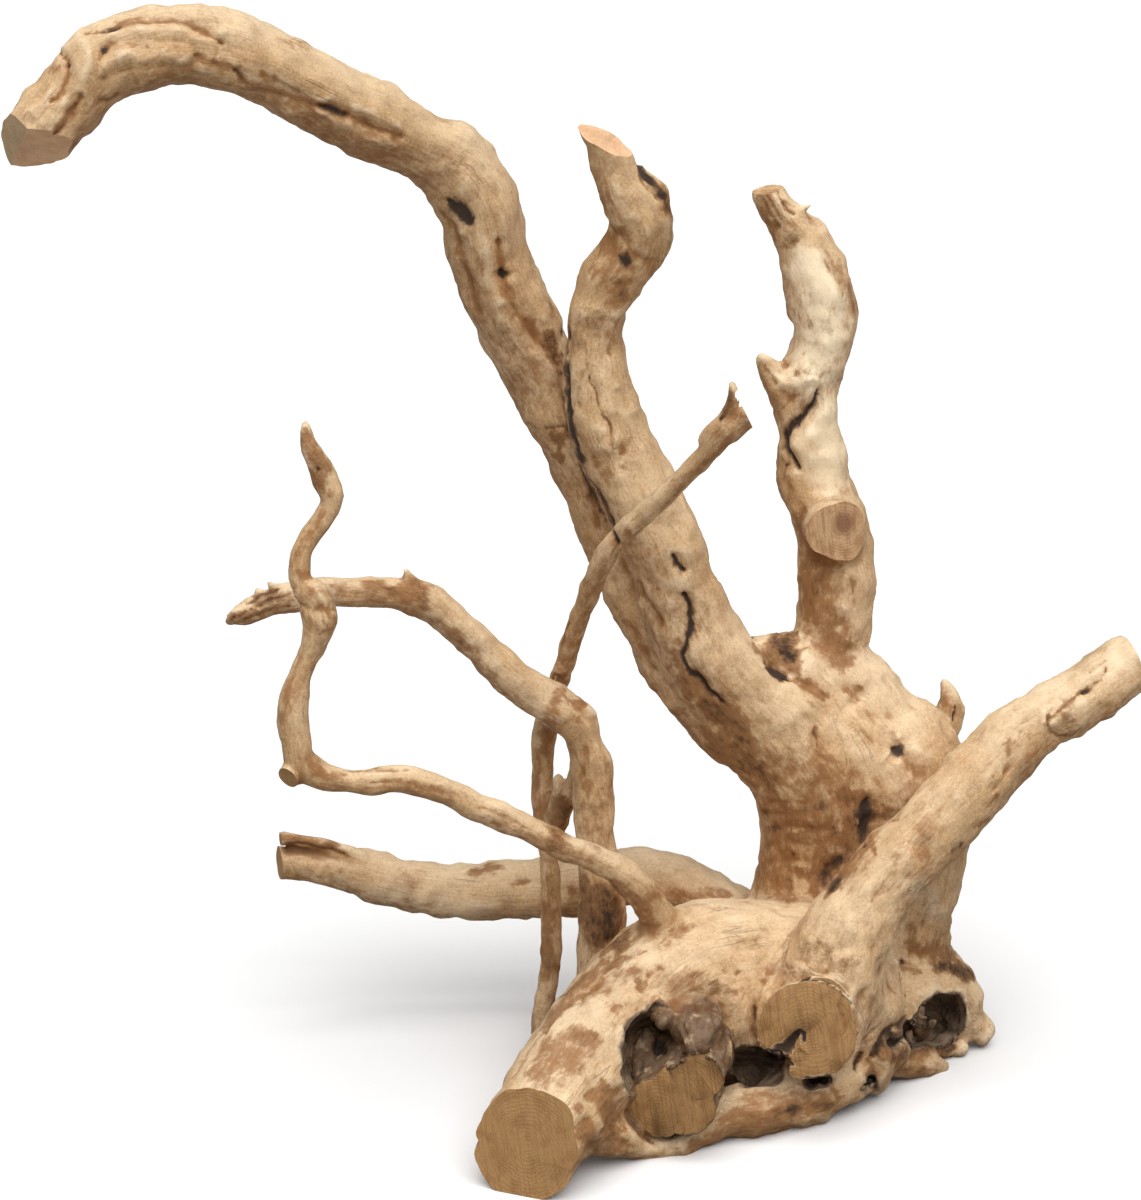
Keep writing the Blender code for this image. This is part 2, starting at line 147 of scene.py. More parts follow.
limb("long_limb", "front_limb", [
    (-288, 507, 97, 36), (-278, 519, 99, 36), (-264.5, 534, 103, 37), (-252, 549, 107, 38),
    (-236.5, 566, 113, 40.5), (-211, 576.3, 121, 41), (-191, 577.8, 126, 40.5), (-175, 576, 131, 41),
    (-156, 568.8, 138, 40), (-140, 559.8, 144, 39), (-120, 549.6, 150, 38.5), (-100, 540.6, 158, 39),
    (-76, 528, 166, 36), (-61, 521, 171, 37.5), (-52.5, 511.3, 174, 39.5), (-46, 497.5, 176, 40.5),
    (-43.5, 487, 178, 40.5), (-41.2, 472, 181, 41.5), (-36.6, 459, 183, 42), (-27.5, 441.5, 186, 41.5),
    (-18.5, 423.5, 187, 40.5), (-10, 409, 187, 40), (-1, 392, 186, 40), (10, 369, 184, 38.5),
    (23, 334, 181, 38), (32, 315, 179, 38.5), (39, 301, 177, 40.5), (49, 284, 174, 43.5),
    (60, 267.5, 171, 46), (74, 251, 168, 48), (92, 237, 165, 49), (116, 220, 162, 50),
])
limb("upright_limb", "front_limb", [
    (95.5, 510, 214, 15), (99.5, 501.5, 214, 18.5), (105, 493.5, 213, 21.5), (114.5, 481, 212, 25.5),
    (119.4, 471, 211, 31), (123.8, 458.5, 209, 34), (125.2, 449, 208, 34.5), (126.2, 435.5, 206, 31.5),
    (124.5, 424.5, 204, 30.5), (118, 404, 201, 33), (118.8, 393, 200, 32), (120.5, 373, 197, 36),
    (122, 358, 195, 37), (126.6, 347, 193, 36), (131.3, 328, 190, 38), (132.5, 308, 188, 39.5),
    (131.5, 290, 186, 39.5), (131, 275, 183, 35), (136, 265, 181, 35), (145, 254, 178, 37),
    (154, 241, 175, 41), (166, 225, 172, 54), (170.5, 205, 170, 56), (170.5, 182, 169, 56),
    (167.5, 165, 168, 56), (163, 146, 166, 55), (160, 131, 164, 55), (156, 112, 158, 60),
])

# %% What grows on the upright limb, and the neck
limb("upright_knob", "upright_limb", [
    (95.8, 421, 194, 7), (99.5, 415, 196, 13), (107, 407, 198, 20), (115, 398, 200, 26),
])
limb("upright_tip_spike", "upright_limb", [
    (89.8, 507.5, 214, 1.8), (92.5, 504.5, 214, 6), (97, 500, 214, 11),
])
limb("upright_tip_splinter", "upright_limb", [
    (120.5, 497.5, 208, 1.8), (117.5, 496, 208, 4), (112, 490, 209, 9),
])
limb("upright_stub", "upright_limb", [
    (138, 337.5, 156, 21), (137, 338, 166, 21.5), (135, 338, 178, 24), (133, 338, 190, 26),
])
limb("upright_stub_side", "upright_stub", [
    (128.8, 333.5, 156, 24), (129, 334.5, 166, 24.5), (129.5, 336, 178, 27), (131, 337, 190, 28),
])
limb("upright_stub_low", "upright_stub", [
    (137, 328.5, 156, 20), (137, 329.5, 166, 20), (136, 331, 178, 22), (133, 334, 190, 24),
])
limb("back_spur", "upright_limb", [
    (186.5, 259.6, 203, 1.8), (188, 256, 203, 5), (190, 250, 202, 10), (187.5, 241, 201, 13),
    (178, 226, 197, 23),
])
limb("back_sliver", "upright_limb", [
    (196.6, 248.5, 200, 1.8), (195.2, 242, 200, 2.6), (193, 236, 199, 3.4), (187, 228, 197, 9),
])
limb("neck", "front_limb", [
    (90, 271.5, 168, 23), (104, 268, 170, 33), (112, 261, 170, 42), (124, 247, 170, 46),
    (138, 229, 167, 52), (146, 204, 165, 52), (146, 180, 164, 50), (144, 155, 163, 52), (140, 125, 156, 62),
])
limb("right_branch", "front_limb", [
    (295, 284, 170, 28), (281, 270.5, 164, 29.5), (264, 258, 156, 31.5), (250, 248.5, 150, 31.5),
    (235.2, 240, 143, 31.5), (218.7, 227, 135, 34), (201.9, 208.8, 126, 35), (188.6, 194.4, 119, 36),
    (174, 179.5, 112, 36), (161, 165.5, 106, 37.5), (149, 151, 100, 40), (140, 137, 95, 45),
    (133, 120, 92, 49), (128, 102, 90, 51),
])

# %% The foot and the roots that the wood stands on
limb("back_root", "upright_limb", [
    (142, 115, 238, 22), (144, 120, 226, 32), (148, 138, 206, 38), (150, 165, 180, 44),
])
limb("back_left_root", "front_limb", [
    (76, 106, 230, 18), (84, 110, 220, 26), (98, 118, 204, 34), (118, 136, 180, 42),
])
limb("sawn_foot", "front_limb", [
    (-33, 10, -18, 53), (-26.5, 18.5, -6, 54), (-20.5, 29.5, 7, 55), (-8, 47, 26, 57),
    (11, 72.2, 52, 60), (30.5, 95.5, 76, 62), (52, 112.6, 95, 64), (76, 116.8, 110, 65),
    (100, 116, 122, 66), (128, 112, 130, 66),
])
limb("foot_heel", "sawn_foot", [
    (-38, 4, -18, 36), (-33, 10.5, -8, 38), (-29, 19.5, 2, 38), (-20, 33.5, 18, 40), (-8, 50, 36, 42),
])
limb("front_lip", "sawn_foot", [
    (6, 40, 24, 30), (24, 32, 36, 22), (38, 27.5, 44, 14), (51, 28.5, 48, 14), (62, 34, 54, 18),
    (76, 43, 61, 25), (95, 47, 70, 29), (122, 57, 84, 32), (140, 68.5, 98, 33), (152, 82, 112, 36),
])
limb("heart_stub", "right_branch", [
    (118.5, 84.5, 57, 51), (119, 88, 70, 52), (119, 95, 84, 53), (121, 102, 100, 55),
], flat_tip=True)
limb("rotten_stub", "sawn_foot", [
    (44, 46, 36.4, 33), (46.1, 51.8, 48, 33), (51, 63, 64, 33), (56, 75, 80, 32), (60, 84, 98, 32),
], flat_tip=True, in_pocket=True)
limb("rotten_stub_low", "rotten_stub", [
    (58, 46.5, 33.6, 30), (60.1, 52.3, 45.2, 30), (62, 62, 60, 30), (62, 74, 80, 30), (62, 84, 98, 30),
], flat_tip=True, in_pocket=True)
limb("rotten_stub_side", "rotten_stub", [
    (64, 60.5, 29.8, 25), (66.1, 66.3, 41.4, 26), (66.5, 74, 60, 27), (66, 82, 80, 28), (65, 88, 98, 28),
], flat_tip=True, in_pocket=True)
limb("rotten_stub_middle", "rotten_stub", [
    (52.5, 56, 32.8, 23), (54.6, 61.8, 44.4, 24), (57, 72, 62, 26), (59, 80, 80, 28),
], flat_tip=True, in_pocket=True)
limb("rotten_crown", "rotten_stub", [
    (63, 79, 38, 16), (64, 84, 46, 23), (63.5, 88, 58, 26), (62, 90, 80, 26),
], in_pocket=True)
limb("rotten_chunk_left", "rotten_stub", [
    (35.5, 63, 55, 9), (36.5, 72, 61, 12), (38, 82, 68, 12),
], in_pocket=True)
limb("rotten_chunk_top", "rotten_stub", [
    (46.5, 90, 48, 8), (47, 92, 56, 13), (48, 94, 70, 14),
], in_pocket=True)

# %% The lumps and small roots on the right
limb("right_root", "front_limb", [
    (205, 85, 161, 15), (199.5, 89, 161, 22), (191.5, 94, 160, 32), (181, 98, 157, 43),
    (166, 101, 150, 47), (150, 104, 140, 51),
])
limb("right_crest", "right_root", [
    (194, 101, 161, 23), (191, 106, 161, 24), (184, 110, 159, 25), (172, 112, 156, 24),
])
limb("right_floor_root", "front_limb", [
    (185, 66.5, 135, 9), (181, 68, 134, 13.5), (173, 70.5, 130, 18.5),
    (162, 73.5, 124, 23), (146, 84, 118, 30),
])
limb("right_prong", "right_root", [
    (182, 89.5, 132, 2.5), (178.5, 87, 137, 6), (174, 84.5, 145, 9), (168, 83, 156, 13),
], in_pocket=True)
limb("right_small_lump", "right_root", [
    (193, 77, 150, 12), (184, 80, 150, 20), (170, 84, 150, 26),
])
limb("right_curl", "front_limb", [
    (150, 60, 104, 15), (151, 68, 99, 19), (146, 82, 96, 23), (138, 92, 96, 26),
])

# %% The thin roots
limb("arched_branch", "sawn_foot", [
    (-170, 289.8, 92, 4), (-167, 291.2, 92.5, 9), (-162, 293, 93, 12.5), (-152, 297.2, 95, 13.5),
    (-144, 300, 96, 15), (-136, 301.7, 97, 15.2),
    (-115, 304, 100, 15.5), (-95, 303.3, 103, 16), (-83, 302.2, 105, 17), (-75, 300.7, 106, 17),
    (-65.6, 295.3, 108, 16.3), (-55.8, 286.8, 110, 16.5), (-45.8, 277.2, 112, 17.5),
    (-35.8, 266.8, 115, 18.3), (-25.6, 257.9, 118, 19.3), (-14.5, 251, 120, 21),
    (-4.4, 245.6, 122, 21.5), (2.4, 239.2, 124, 21.5), (6.9, 230, 125, 20.2), (10.5, 219, 125.5, 20.5),
    (11.5, 200, 126, 20.5), (12.5, 180, 127, 20), (15, 160, 128, 21.5), (16, 148, 128.5, 24),
    (16, 138, 129, 24), (16, 120, 129, 24), (16, 100, 126, 28),
])
TIP_SPLINTERS = (
    [(-171.6, 290.8, 90, 1.5), (-168.5, 292.8, 90.5, 4), (-162, 294.5, 93, 8)],
    [(-163.8, 299.4, 92, 1.5), (-160.5, 299, 92.5, 4.5), (-153, 297.5, 95, 9)],
    [(-157, 305.6, 94, 1.5), (-155.3, 302.6, 94.5, 5), (-149, 299.5, 96, 9)],
    [(-151.5, 308.4, 95, 1.5), (-147.5, 306, 95.5, 5), (-140, 302.5, 97, 10)],
)
for number, route in enumerate(TIP_SPLINTERS):
    limb(f"arched_splinter_{number}", "arched_branch", route)
limb("arched_spike", "arched_branch", [
    (-82.8, 316.5, 103, 1.5), (-82, 313.5, 104, 4), (-80, 309, 105, 8), (-79, 303, 106, 12),
])
limb("front_root", "sawn_foot", [
    (-132.5, 388, 62, 4), (-131.5, 380, 61, 8), (-127, 370, 60, 11), (-122.5, 360, 60, 13),
    (-119.5, 350, 59, 12.5), (-124, 340, 57, 11.5), (-131.5, 330, 55, 11), (-135, 320, 53, 10.5),
    (-135, 310, 51, 10.8), (-128, 301, 50, 15), (-125.3, 292, 49, 17), (-127.8, 280, 48, 12),
    (-131.6, 270, 47, 11), (-135.6, 260, 46, 12.3), (-138.4, 250, 45, 14), (-139, 240, 44.5, 15),
    (-137.2, 230, 44, 15), (-134, 219.3, 44, 16), (-126, 212.7, 45, 14.5), (-115, 210.2, 46, 13),
    (-100, 209.2, 48, 13), (-85, 210.7, 50, 13.5), (-65, 205.2, 53, 13.5), (-45, 195.3, 57, 13.5),
    (-25, 187, 62, 13.5), (-5, 177.7, 66, 13.5), (15, 169.7, 73, 15), (28, 161.8, 80, 17),
    (38, 151, 87, 19), (45, 139, 93, 20), (50, 126, 98, 24),
])
limb("front_root_stub", "front_root", [
    (-141.5, 211.5, 37, 11), (-140, 213, 42, 11.8), (-136, 217, 45, 14),
])
limb("crossing_root", "sawn_foot", [
    (92, 395, 55, 9), (86, 390, 57, 9.8), (78, 383, 59, 10.3), (67, 372, 64, 10.3),
    (53, 358, 70, 11), (40.7, 347.3, 76, 11), (30.3, 337.6, 82, 11.5), (21, 327, 89, 11),
    (13, 313, 97, 11), (7, 299, 108, 11), (0.5, 280, 120, 10.5), (-4, 265, 133, 10.5),
    (-9.5, 247, 146, 11.5), (-13, 230, 152, 12), (-14, 212, 155, 11.5), (-13.5, 195, 155, 11),
    (-11, 176, 154, 10.5), (-10, 155, 153, 10.5), (-10, 130, 152, 10.5), (-11, 110, 151, 10),
    (-13, 96, 150, 11), (-12, 84, 148, 15), (0, 76, 144, 20), (18, 76, 138, 28), (40, 84, 132, 34),
])
limb("crossing_root_fork", "crossing_root", [
    (80.6, 408, 57, 3.4), (81.4, 403, 57, 4.8), (80.2, 397, 57.5, 6), (77, 391.5, 58.5, 7.6),
    (72.5, 386, 60, 8), (68, 380, 62, 8.5),
])
limb("small_rough_root", "arched_branch", [
    (-6, 211, 139, 4), (-5, 203, 143, 9), (-5.5, 195, 147, 12), (-8, 185, 150, 11), (-11, 176, 153, 9),
])
limb("small_root_tie", "arched_branch", [
    (-5, 196, 146, 9), (0, 205, 140, 8), (5, 217, 131, 8),
])
limb("low_branch", "front_limb", [
    (-156, 168.5, 186, 15), (-147, 168.5, 187, 16), (-140, 168.6, 188.5, 17.5), (-117.5, 166.8, 192, 20.5),
    (-98.5, 162, 195, 23), (-79.5, 157.8, 197, 24), (-60, 155, 198, 25.5), (-41, 154.6, 198, 29.5),
    (-15.5, 156, 197, 30), (15, 158.5, 195, 29.5), (38, 160.8, 192, 29), (56, 157, 187, 28.5),
    (76, 146, 180, 29), (92, 131, 172, 38),
])
limb("low_branch_stub", "low_branch", [
    (-143.5, 180.4, 184, 7), (-133, 179.2, 185, 7.6), (-119, 176.2, 187, 7.6), (-105, 171.2, 190, 7),
])
print(len(LIMBS), "limbs drawn")

# %% [markdown]
# ## Lumps and hollows of the rootstock
#
# Where the limbs meet, the real wood is a burl with rotten pockets. Lumps fill it out, and a second set of
# routes says where wood is missing: the pockets seen from in front, and guessed ones behind.

# %% Lumps and hollows
ROOTSTOCK_LUMPS = [
    ((92, 132, 44), (58, 58, 44)),
    ((60, 150, 28), (44, 50, 32)),
    ((120, 170, 34), (66, 58, 40)),
    ((162, 166, 32), (46, 54, 37)),
    ((124, 112, 50), (44, 34, 34)),
    ((84, 104, 62), (42, 32, 30)),
]

HOLLOWS = {
    "front_hollow": [(38, 78, 22, 25), (38, 78, 46, 29), (43, 80, 66, 26)],
    "front_hollow_low": [(34, 64, 24, 17), (35, 64, 44, 21), (40, 67, 60, 20)],
    "front_hollow_top": [(45, 91, 34, 12), (46, 90, 54, 15), (52, 88, 70, 16)],
    "front_hollow_right": [(64, 88, 40, 15), (66, 86, 60, 17), (67, 82, 76, 16)],
    "beside_rotten_stub": [(77, 77, 44, 9), (78, 76, 62, 10), (76, 75, 78, 10)],
    "under_rotten_stub": [(49, 46, 28, 30), (49, 47, 44, 31), (52, 50, 56, 27)],
    "middle_hollow": [(92, 66, 30, 18), (91, 67, 56, 21), (90, 68, 86, 20)],
    "middle_hollow_left": [(83, 68, 40, 13), (82, 68, 58, 15), (84, 68, 80, 14)],
    "middle_hollow_right": [(102, 66, 50, 14), (101, 66, 66, 14), (96, 67, 80, 14)],
    "small_hole": [(121, 59.5, 56, 6), (121, 59.5, 76, 6.5), (121, 60, 92, 7)],
    "small_hole_right": [(126.5, 60.5, 58, 6), (126, 60.5, 76, 6.5), (123, 60, 92, 7)],
    "right_hollow": [(186, 89, 118, 25), (185, 91, 142, 28), (180, 94, 160, 25)],
    "right_hollow_low": [(173, 85, 118, 16), (173, 86, 140, 18), (174, 88, 158, 16)],
    "right_slit": [(145.4, 57.3, 84, 4.6), (145.6, 57.6, 96, 4.6), (148, 59, 110, 5)],
    "right_slit_end": [(150.3, 59.4, 84, 4.4), (150.3, 59.6, 96, 4.6), (150, 60, 110, 5)],
    "right_crease": [(160, 79.5, 96, 7), (160.5, 80, 118, 8.5), (163, 82, 134, 9)],
    "right_crease_end": [(168, 85, 100, 8), (168.5, 85.5, 122, 9.5), (170, 87, 140, 10)],
    "back_hollow": [(60, 60, 236, 24), (66, 66, 214, 28), (74, 78, 192, 24)],
    "back_hollow_right": [(176, 72, 232, 16), (174, 76, 214, 20), (170, 84, 196, 18)],
}
print(len(ROOTSTOCK_LUMPS), "lumps and", len(HOLLOWS), "hollows")

# %% [markdown]
# ## Smooth lines through the points
#
# A limb has no corners, so each route becomes a smooth line with a point every few millimetres. Each point
# also carries a little frame: ahead along the limb, and two directions across it that never twist. The
# frames give the grain something to follow. The same is done for the hollows.

# %% Smooth lines with untwisted frames
LINE_STEP = 3.0
LEAST_LINE_RADIUS = 0.5


def smooth_line(knots, step):
    """Rows about step apart on a curve that passes through all knots."""
    gaps = np.linalg.norm(np.diff(knots[:, :3], axis=0), axis=1)[:, None]
    slopes = np.diff(knots, axis=0) / gaps
    inner = (slopes[:-1] * gaps[1:] + slopes[1:] * gaps[:-1]) / (gaps[:-1] + gaps[1:])
    tangents = np.vstack([slopes[:1], inner, slopes[-1:]])
    rows = []
    for i, gap in enumerate(gaps[:, 0]):
        count = max(1, round(gap / step))
        t = (np.arange(count) / count)[:, None]
        rows.append(
            knots[i] * (2 * t**3 - 3 * t**2 + 1) + tangents[i] * gap * (t**3 - 2 * t**2 + t)
            + knots[i + 1] * (3 * t**2 - 2 * t**3) + tangents[i + 1] * gap * (t**3 - t**2)
        )
    return np.vstack(rows + [knots[-1:]])


def unit(rows):
    return rows / np.linalg.norm(rows, axis=-1, keepdims=True)


def laid_out(route):
    """A route's smooth line with its radii, its length so far, and the direction ahead."""
    places, radii = placed(route)
    line = smooth_line(np.column_stack([places, radii]), LINE_STEP)
    steps = np.linalg.norm(np.diff(line[:, :3], axis=0), axis=1)
    return {
        "place": line[:, :3],
        "radius": np.maximum(line[:, 3], LEAST_LINE_RADIUS),
        "along": np.concatenate([[0.0], np.cumsum(steps)]),
        "ahead": unit(np.gradient(line[:, :3], axis=0)),
        "half_step": steps.mean() * 0.5,
        "flat_tip": False,
    }


def turn_frames(line, side_at_root):
    """Carries a direction across the limb from its root to its tip without twisting it."""
    sides = np.zeros_like(line["ahead"])
    side = np.array(side_at_root, float)
    for i in range(len(sides) - 1, -1, -1):
        side = side - line["ahead"][i] * (side @ line["ahead"][i])
        side = side / np.linalg.norm(side)
        sides[i] = side
    line["side"] = sides
    line["over"] = np.cross(line["ahead"], sides)


hollow_lines = {name: laid_out(route) for name, route in HOLLOWS.items()}
limb_lines = {}
for name, drawn_limb in LIMBS.items():
    limb_lines[name] = laid_out(drawn_limb["route"])
    limb_lines[name]["flat_tip"] = drawn_limb["flat_tip"]
print(sum(len(line["place"]) for line in limb_lines.values()), "points on the limbs")

# %% [markdown]
# ## How far a place is from a limb's skin
#
# Much of this lesson asks one question of many places at once: how far from this limb's skin are you, how
# far along it, and on which side. NumPy answers it for a hundred thousand places in one go, far faster than
# a loop.


# %% Distance from a limb
def beside(line, places):
    """Distance from the limb's skin, the nearest point of its line, and the step on from that point."""
    apart = (
        (line["place"] ** 2).sum(1)[None, :].astype(np.float32)
        - 2 * places.astype(np.float32) @ line["place"].T.astype(np.float32)
    )
    near = apart.argmin(1)
    away = places - line["place"][near]
    step = (away * line["ahead"][near]).sum(1)
    beyond = -step * (near == 0)
    half = line["half_step"]
    last = len(line["place"]) - 1
    step = np.clip(step, np.where(near == 0, 0.0, -half), np.where(near == last, 0.0, half))
    off = away - line["ahead"][near] * step[:, None]
    radius = np.interp(line["along"][near] + step, line["along"], line["radius"])
    if line["flat_tip"]:
        across = off - line["ahead"][near] * (off * line["ahead"][near]).sum(1)[:, None]
        return np.maximum(np.linalg.norm(across, axis=1) - radius, beyond), near, step, radius
    return np.linalg.norm(off, axis=1) - radius, near, step, radius


def near_box(line, places, margin):
    """The numbers of the places that lie in the box around a limb."""
    grown = line["radius"][:, None] + margin
    low = (line["place"] - grown).min(0)
    high = (line["place"] + grown).max(0)
    return np.flatnonzero(((places > low) & (places < high)).all(1))

# %% [markdown]
# ## Grain that runs from limb to limb
#
# Wood grain runs along each limb and bends into the next. Each limb's frame starts out as the frame of the
# limb it grew from, at the place where it leaves it, and so does its count of length. A grain place is then
# three numbers: two across the limb, measured from its pith, and one along it.

# %% Chain the frames
FIRST_SIDE = (1.0, 0.2, 0.1)
for name, drawn_limb in LIMBS.items():
    line = limb_lines[name]
    if drawn_limb["from"] is None:
        turn_frames(line, FIRST_SIDE)
        line["grain_shift"] = np.zeros(3)
        continue
    parent = limb_lines[drawn_limb["from"]]
    root = line["place"][-1:]
    _, near, step, _ = beside(parent, root)
    turn_frames(line, parent["side"][near[0]])
    away = root[0] - parent["place"][near[0]]
    at_parent = np.array([
        away @ parent["side"][near[0]],
        away @ parent["over"][near[0]],
        parent["along"][near[0]] + step[0],
    ]) + parent["grain_shift"]
    line["grain_shift"] = at_parent - np.array([0.0, 0.0, line["along"][-1]])
print("grain chained for", len(limb_lines), "limbs")

# %% [markdown]
# ## One skin around everything
#
# Each line becomes a bevelled curve, and all of them are joined. The Remesh modifier wraps the heap in one
# closed skin, a Boolean scoops out the hollows, and a second, finer Remesh gives points close enough
# together for sculpting. Building the skin from pieces this way keeps the thin roots open and round.

# %% Tubes, lumps and one skin
COARSE_VOXEL = 2.2
FINE_VOXEL = 1.15


def mesh_object(name, mesh):
    thing = bpy.data.objects.new(name, mesh)
    bpy.context.scene.collection.objects.link(thing)
    return thing


def worked_out(thing):
    """The object's mesh with its modifiers worked out. The object itself is removed."""
    graph = bpy.context.evaluated_depsgraph_get()
    mesh = bpy.data.meshes.new_from_object(thing.evaluated_get(graph))
    bpy.data.objects.remove(thing)
    return mesh


def tube(name, line):
    curve = bpy.data.curves.new(name, "CURVE")
    curve.dimensions = "3D"
    curve.bevel_depth = 1.0
    curve.bevel_resolution = 4
    curve.use_fill_caps = True
    spline = curve.splines.new("POLY")
    spline.points.add(len(line["place"]) - 1)
    rows = np.column_stack([line["place"] * MM, np.ones(len(line["place"]))])
    spline.points.foreach_set("co", rows.ravel())
    spline.points.foreach_set("radius", line["radius"] * MM)
    return worked_out(mesh_object(name, curve))


def lump(middle, half_sizes):
    shape = bmesh.new()
    bmesh.ops.create_icosphere(shape, subdivisions=4, radius=1.0)
    place = np.array(middle) - FOOTPRINT_MIDDLE
    stretch = Matrix.Diagonal(Vector(half_sizes) * MM).to_4x4()
    bmesh.ops.transform(shape, matrix=Matrix.Translation(Vector(place) * MM) @ stretch, verts=shape.verts)
    mesh = bpy.data.meshes.new("lump")
    shape.to_mesh(mesh)
    shape.free()
    return mesh


def joined(name, meshes):
    shape = bmesh.new()
    for mesh in meshes:
        shape.from_mesh(mesh)
        bpy.data.meshes.remove(mesh)
    whole = bpy.data.meshes.new(name)
    shape.to_mesh(whole)
    shape.free()
    return mesh_object(name, whole)


def wrap(thing, voxel):
    skin = thing.modifiers.new("one skin", "REMESH")
    skin.mode = "VOXEL"
    skin.voxel_size = voxel * MM


scoops = joined("scoops", [tube(name, line) for name, line in hollow_lines.items()])
wrap(scoops, COARSE_VOXEL)
pocket_limbs = [name for name, drawn_limb in LIMBS.items() if drawn_limb["in_pocket"]]
tubes = [tube(name, line) for name, line in limb_lines.items() if name not in pocket_limbs]
heap = joined("heap", tubes + [lump(*row) for row in ROOTSTOCK_LUMPS])
wrap(heap, COARSE_VOXEL)
scoop_out = heap.modifiers.new("scoop out", "BOOLEAN")
scoop_out.operation = "DIFFERENCE"
scoop_out.solver = "MANIFOLD"
scoop_out.object = scoops
whole = joined("whole", [worked_out(heap)] + [tube(name, limb_lines[name]) for name in pocket_limbs])
wrap(whole, FINE_VOXEL)
skin = worked_out(whole)
bpy.data.objects.remove(scoops)
print("skin:", len(skin.vertices), "points")

# %% [markdown]
# ## Random lumps that repeat on every run
#
# Sculpting needs soft random heights. This small function mixes random numbers that belong to the corners
# of a lattice, so the same place always gets the same height and nothing has to be seeded elsewhere.


# %% Soft random heights
def corner_number(x, y, z, seed):
    mixed = (x * 374761393 + y * 668265263 + z * 1274126177 + seed * 974711) & 0xFFFFFFFF
    mixed = ((mixed ^ (mixed >> 13)) * 1103515245) & 0xFFFFFFFF
    return ((mixed ^ (mixed >> 16)) & 0xFFFF) / 32767.5 - 1.0


def wavy(places, size, seed):
    """Soft random heights between -1 and 1. The size of the waves is one length, or one for each way."""
    scaled = places / np.array(size, float)
    corner = np.floor(scaled).astype(np.int64)
    part = scaled - corner
    part = part * part * (3 - 2 * part)
    height = 0.0
    for steps in itertools.product((0, 1), repeat=3):
        share = 1.0
        for axis, step in enumerate(steps):
            share = share * (part[:, axis] if step else 1 - part[:, axis])
        height = height + share * corner_number(*(corner + steps).T, seed)
    return height


def mixed_waves(places, waves, seed):
    """A sum of soft random waves, each given by its size and its height."""
    return sum(height * wavy(places, size, seed + i) for i, (size, height) in enumerate(waves))

# %% [markdown]
# ## Melt the limbs into each other
#
# Where two real limbs meet, the wood flows from one into the other in a soft fillet. Each skin point asks
# for the two nearest limbs. If both are about as near, the skin is pushed out to a blend of the two, and
# hollows pull it in with a soft rim of their own. Two rounds are enough, because the skin starts out close.


# %% Read and move the points of a mesh
def read_points(mesh):
    places = np.empty(len(mesh.vertices) * 3, np.float32)
    mesh.vertices.foreach_get("co", places)
    return places.reshape(-1, 3).astype(float) / MM


def read_normals(mesh):
    normals = np.empty(len(mesh.vertices) * 3, np.float32)
    mesh.vertex_normals.foreach_get("vector", normals)
    return normals.reshape(-1, 3).astype(float)


def move_points(mesh, places):
    mesh.vertices.foreach_set("co", (places * MM).astype(np.float32).ravel())
    mesh.update()


print("the skin reaches up to", round(float(read_points(skin)[:, 2].max())), "mm")

# %% Blend the nearest limbs
FAR = 32.0
TINY = 1e-6
LEAST_MELT = 2.0
MELT_SHARE = 0.30
USUAL_RADIUS = 10.0


def lump_distance(places, middle, half_sizes):
    shifted = places - (np.array(middle) - FOOTPRINT_MIDDLE)
    half_sizes = np.array(half_sizes, float)
    share = np.linalg.norm(shifted / half_sizes, axis=1)
    slope = np.linalg.norm(shifted / half_sizes**2, axis=1) / np.maximum(share, TINY)
    return (share - 1.0) / np.maximum(slope, TINY)


def grain_beside(line, places, near):
    """Grain places: two across the limb from its pith and one along it, on from the limb it grew from."""
    away = places - line["place"][near]
    parts = [(away * line[key][near]).sum(1) for key in ("side", "over", "ahead")]
    parts[2] = parts[2] + line["along"][near]
    return np.column_stack(parts) + line["grain_shift"]


def blended(skins, count):
    """Distance from one soft skin, in which the two nearest of many skins melt into each other."""
    first = np.full(count, FAR)
    second = np.full(count, FAR)
    first_radius = np.full(count, USUAL_RADIUS)
    second_radius = np.full(count, USUAL_RADIUS)
    for chosen, distance, radius in skins:
        was, was_radius = first[chosen], first_radius[chosen]
        next_one, next_radius = second[chosen], second_radius[chosen]
        nearer = distance < was
        next_radius = np.where(distance < next_one, radius, next_radius)
        second[chosen] = np.where(nearer, was, np.minimum(next_one, distance))
        second_radius[chosen] = np.where(nearer, was_radius, next_radius)
        first[chosen] = np.where(nearer, distance, was)
        first_radius[chosen] = np.where(nearer, radius, was_radius)
    melt = LEAST_MELT + MELT_SHARE * np.minimum(first_radius, second_radius)
    blend = np.maximum(melt - (second - first), 0.0) / melt
    return first - blend**2 * melt / 4

# %% Survey
REACH = 16.0
OWNER_REACH = 24.0
LUMP_RADIUS = 20.0
RIM_MELT = 3.0
POCKET_GNAW = 1.8
POCKET_GNAW_SIZE = 8.0
MOST_GNAW_SHARE = 1.2
LIMB_NAMES = list(LIMBS)


def soft_rim(gap):
    """How much two skins that lie this far apart melt into each other at a rim."""
    return (np.maximum(RIM_MELT - np.abs(gap), 0.0) / RIM_MELT) ** 2 * RIM_MELT / 4


def beside_hollows(places):
    """Distance from the gnawed wall of the nearest hollow."""
    nearest = np.full(len(places), FAR)
    gnawed = POCKET_GNAW * wavy(places, POCKET_GNAW_SIZE, 15)
    for line in hollow_lines.values():
        chosen = near_box(line, places, REACH)
        distance, _, _, radius = beside(line, places[chosen])
        distance = distance + gnawed[chosen] * np.minimum(radius / USUAL_RADIUS, MOST_GNAW_SHARE)
        nearest[chosen] = np.minimum(nearest[chosen], distance)
    return nearest


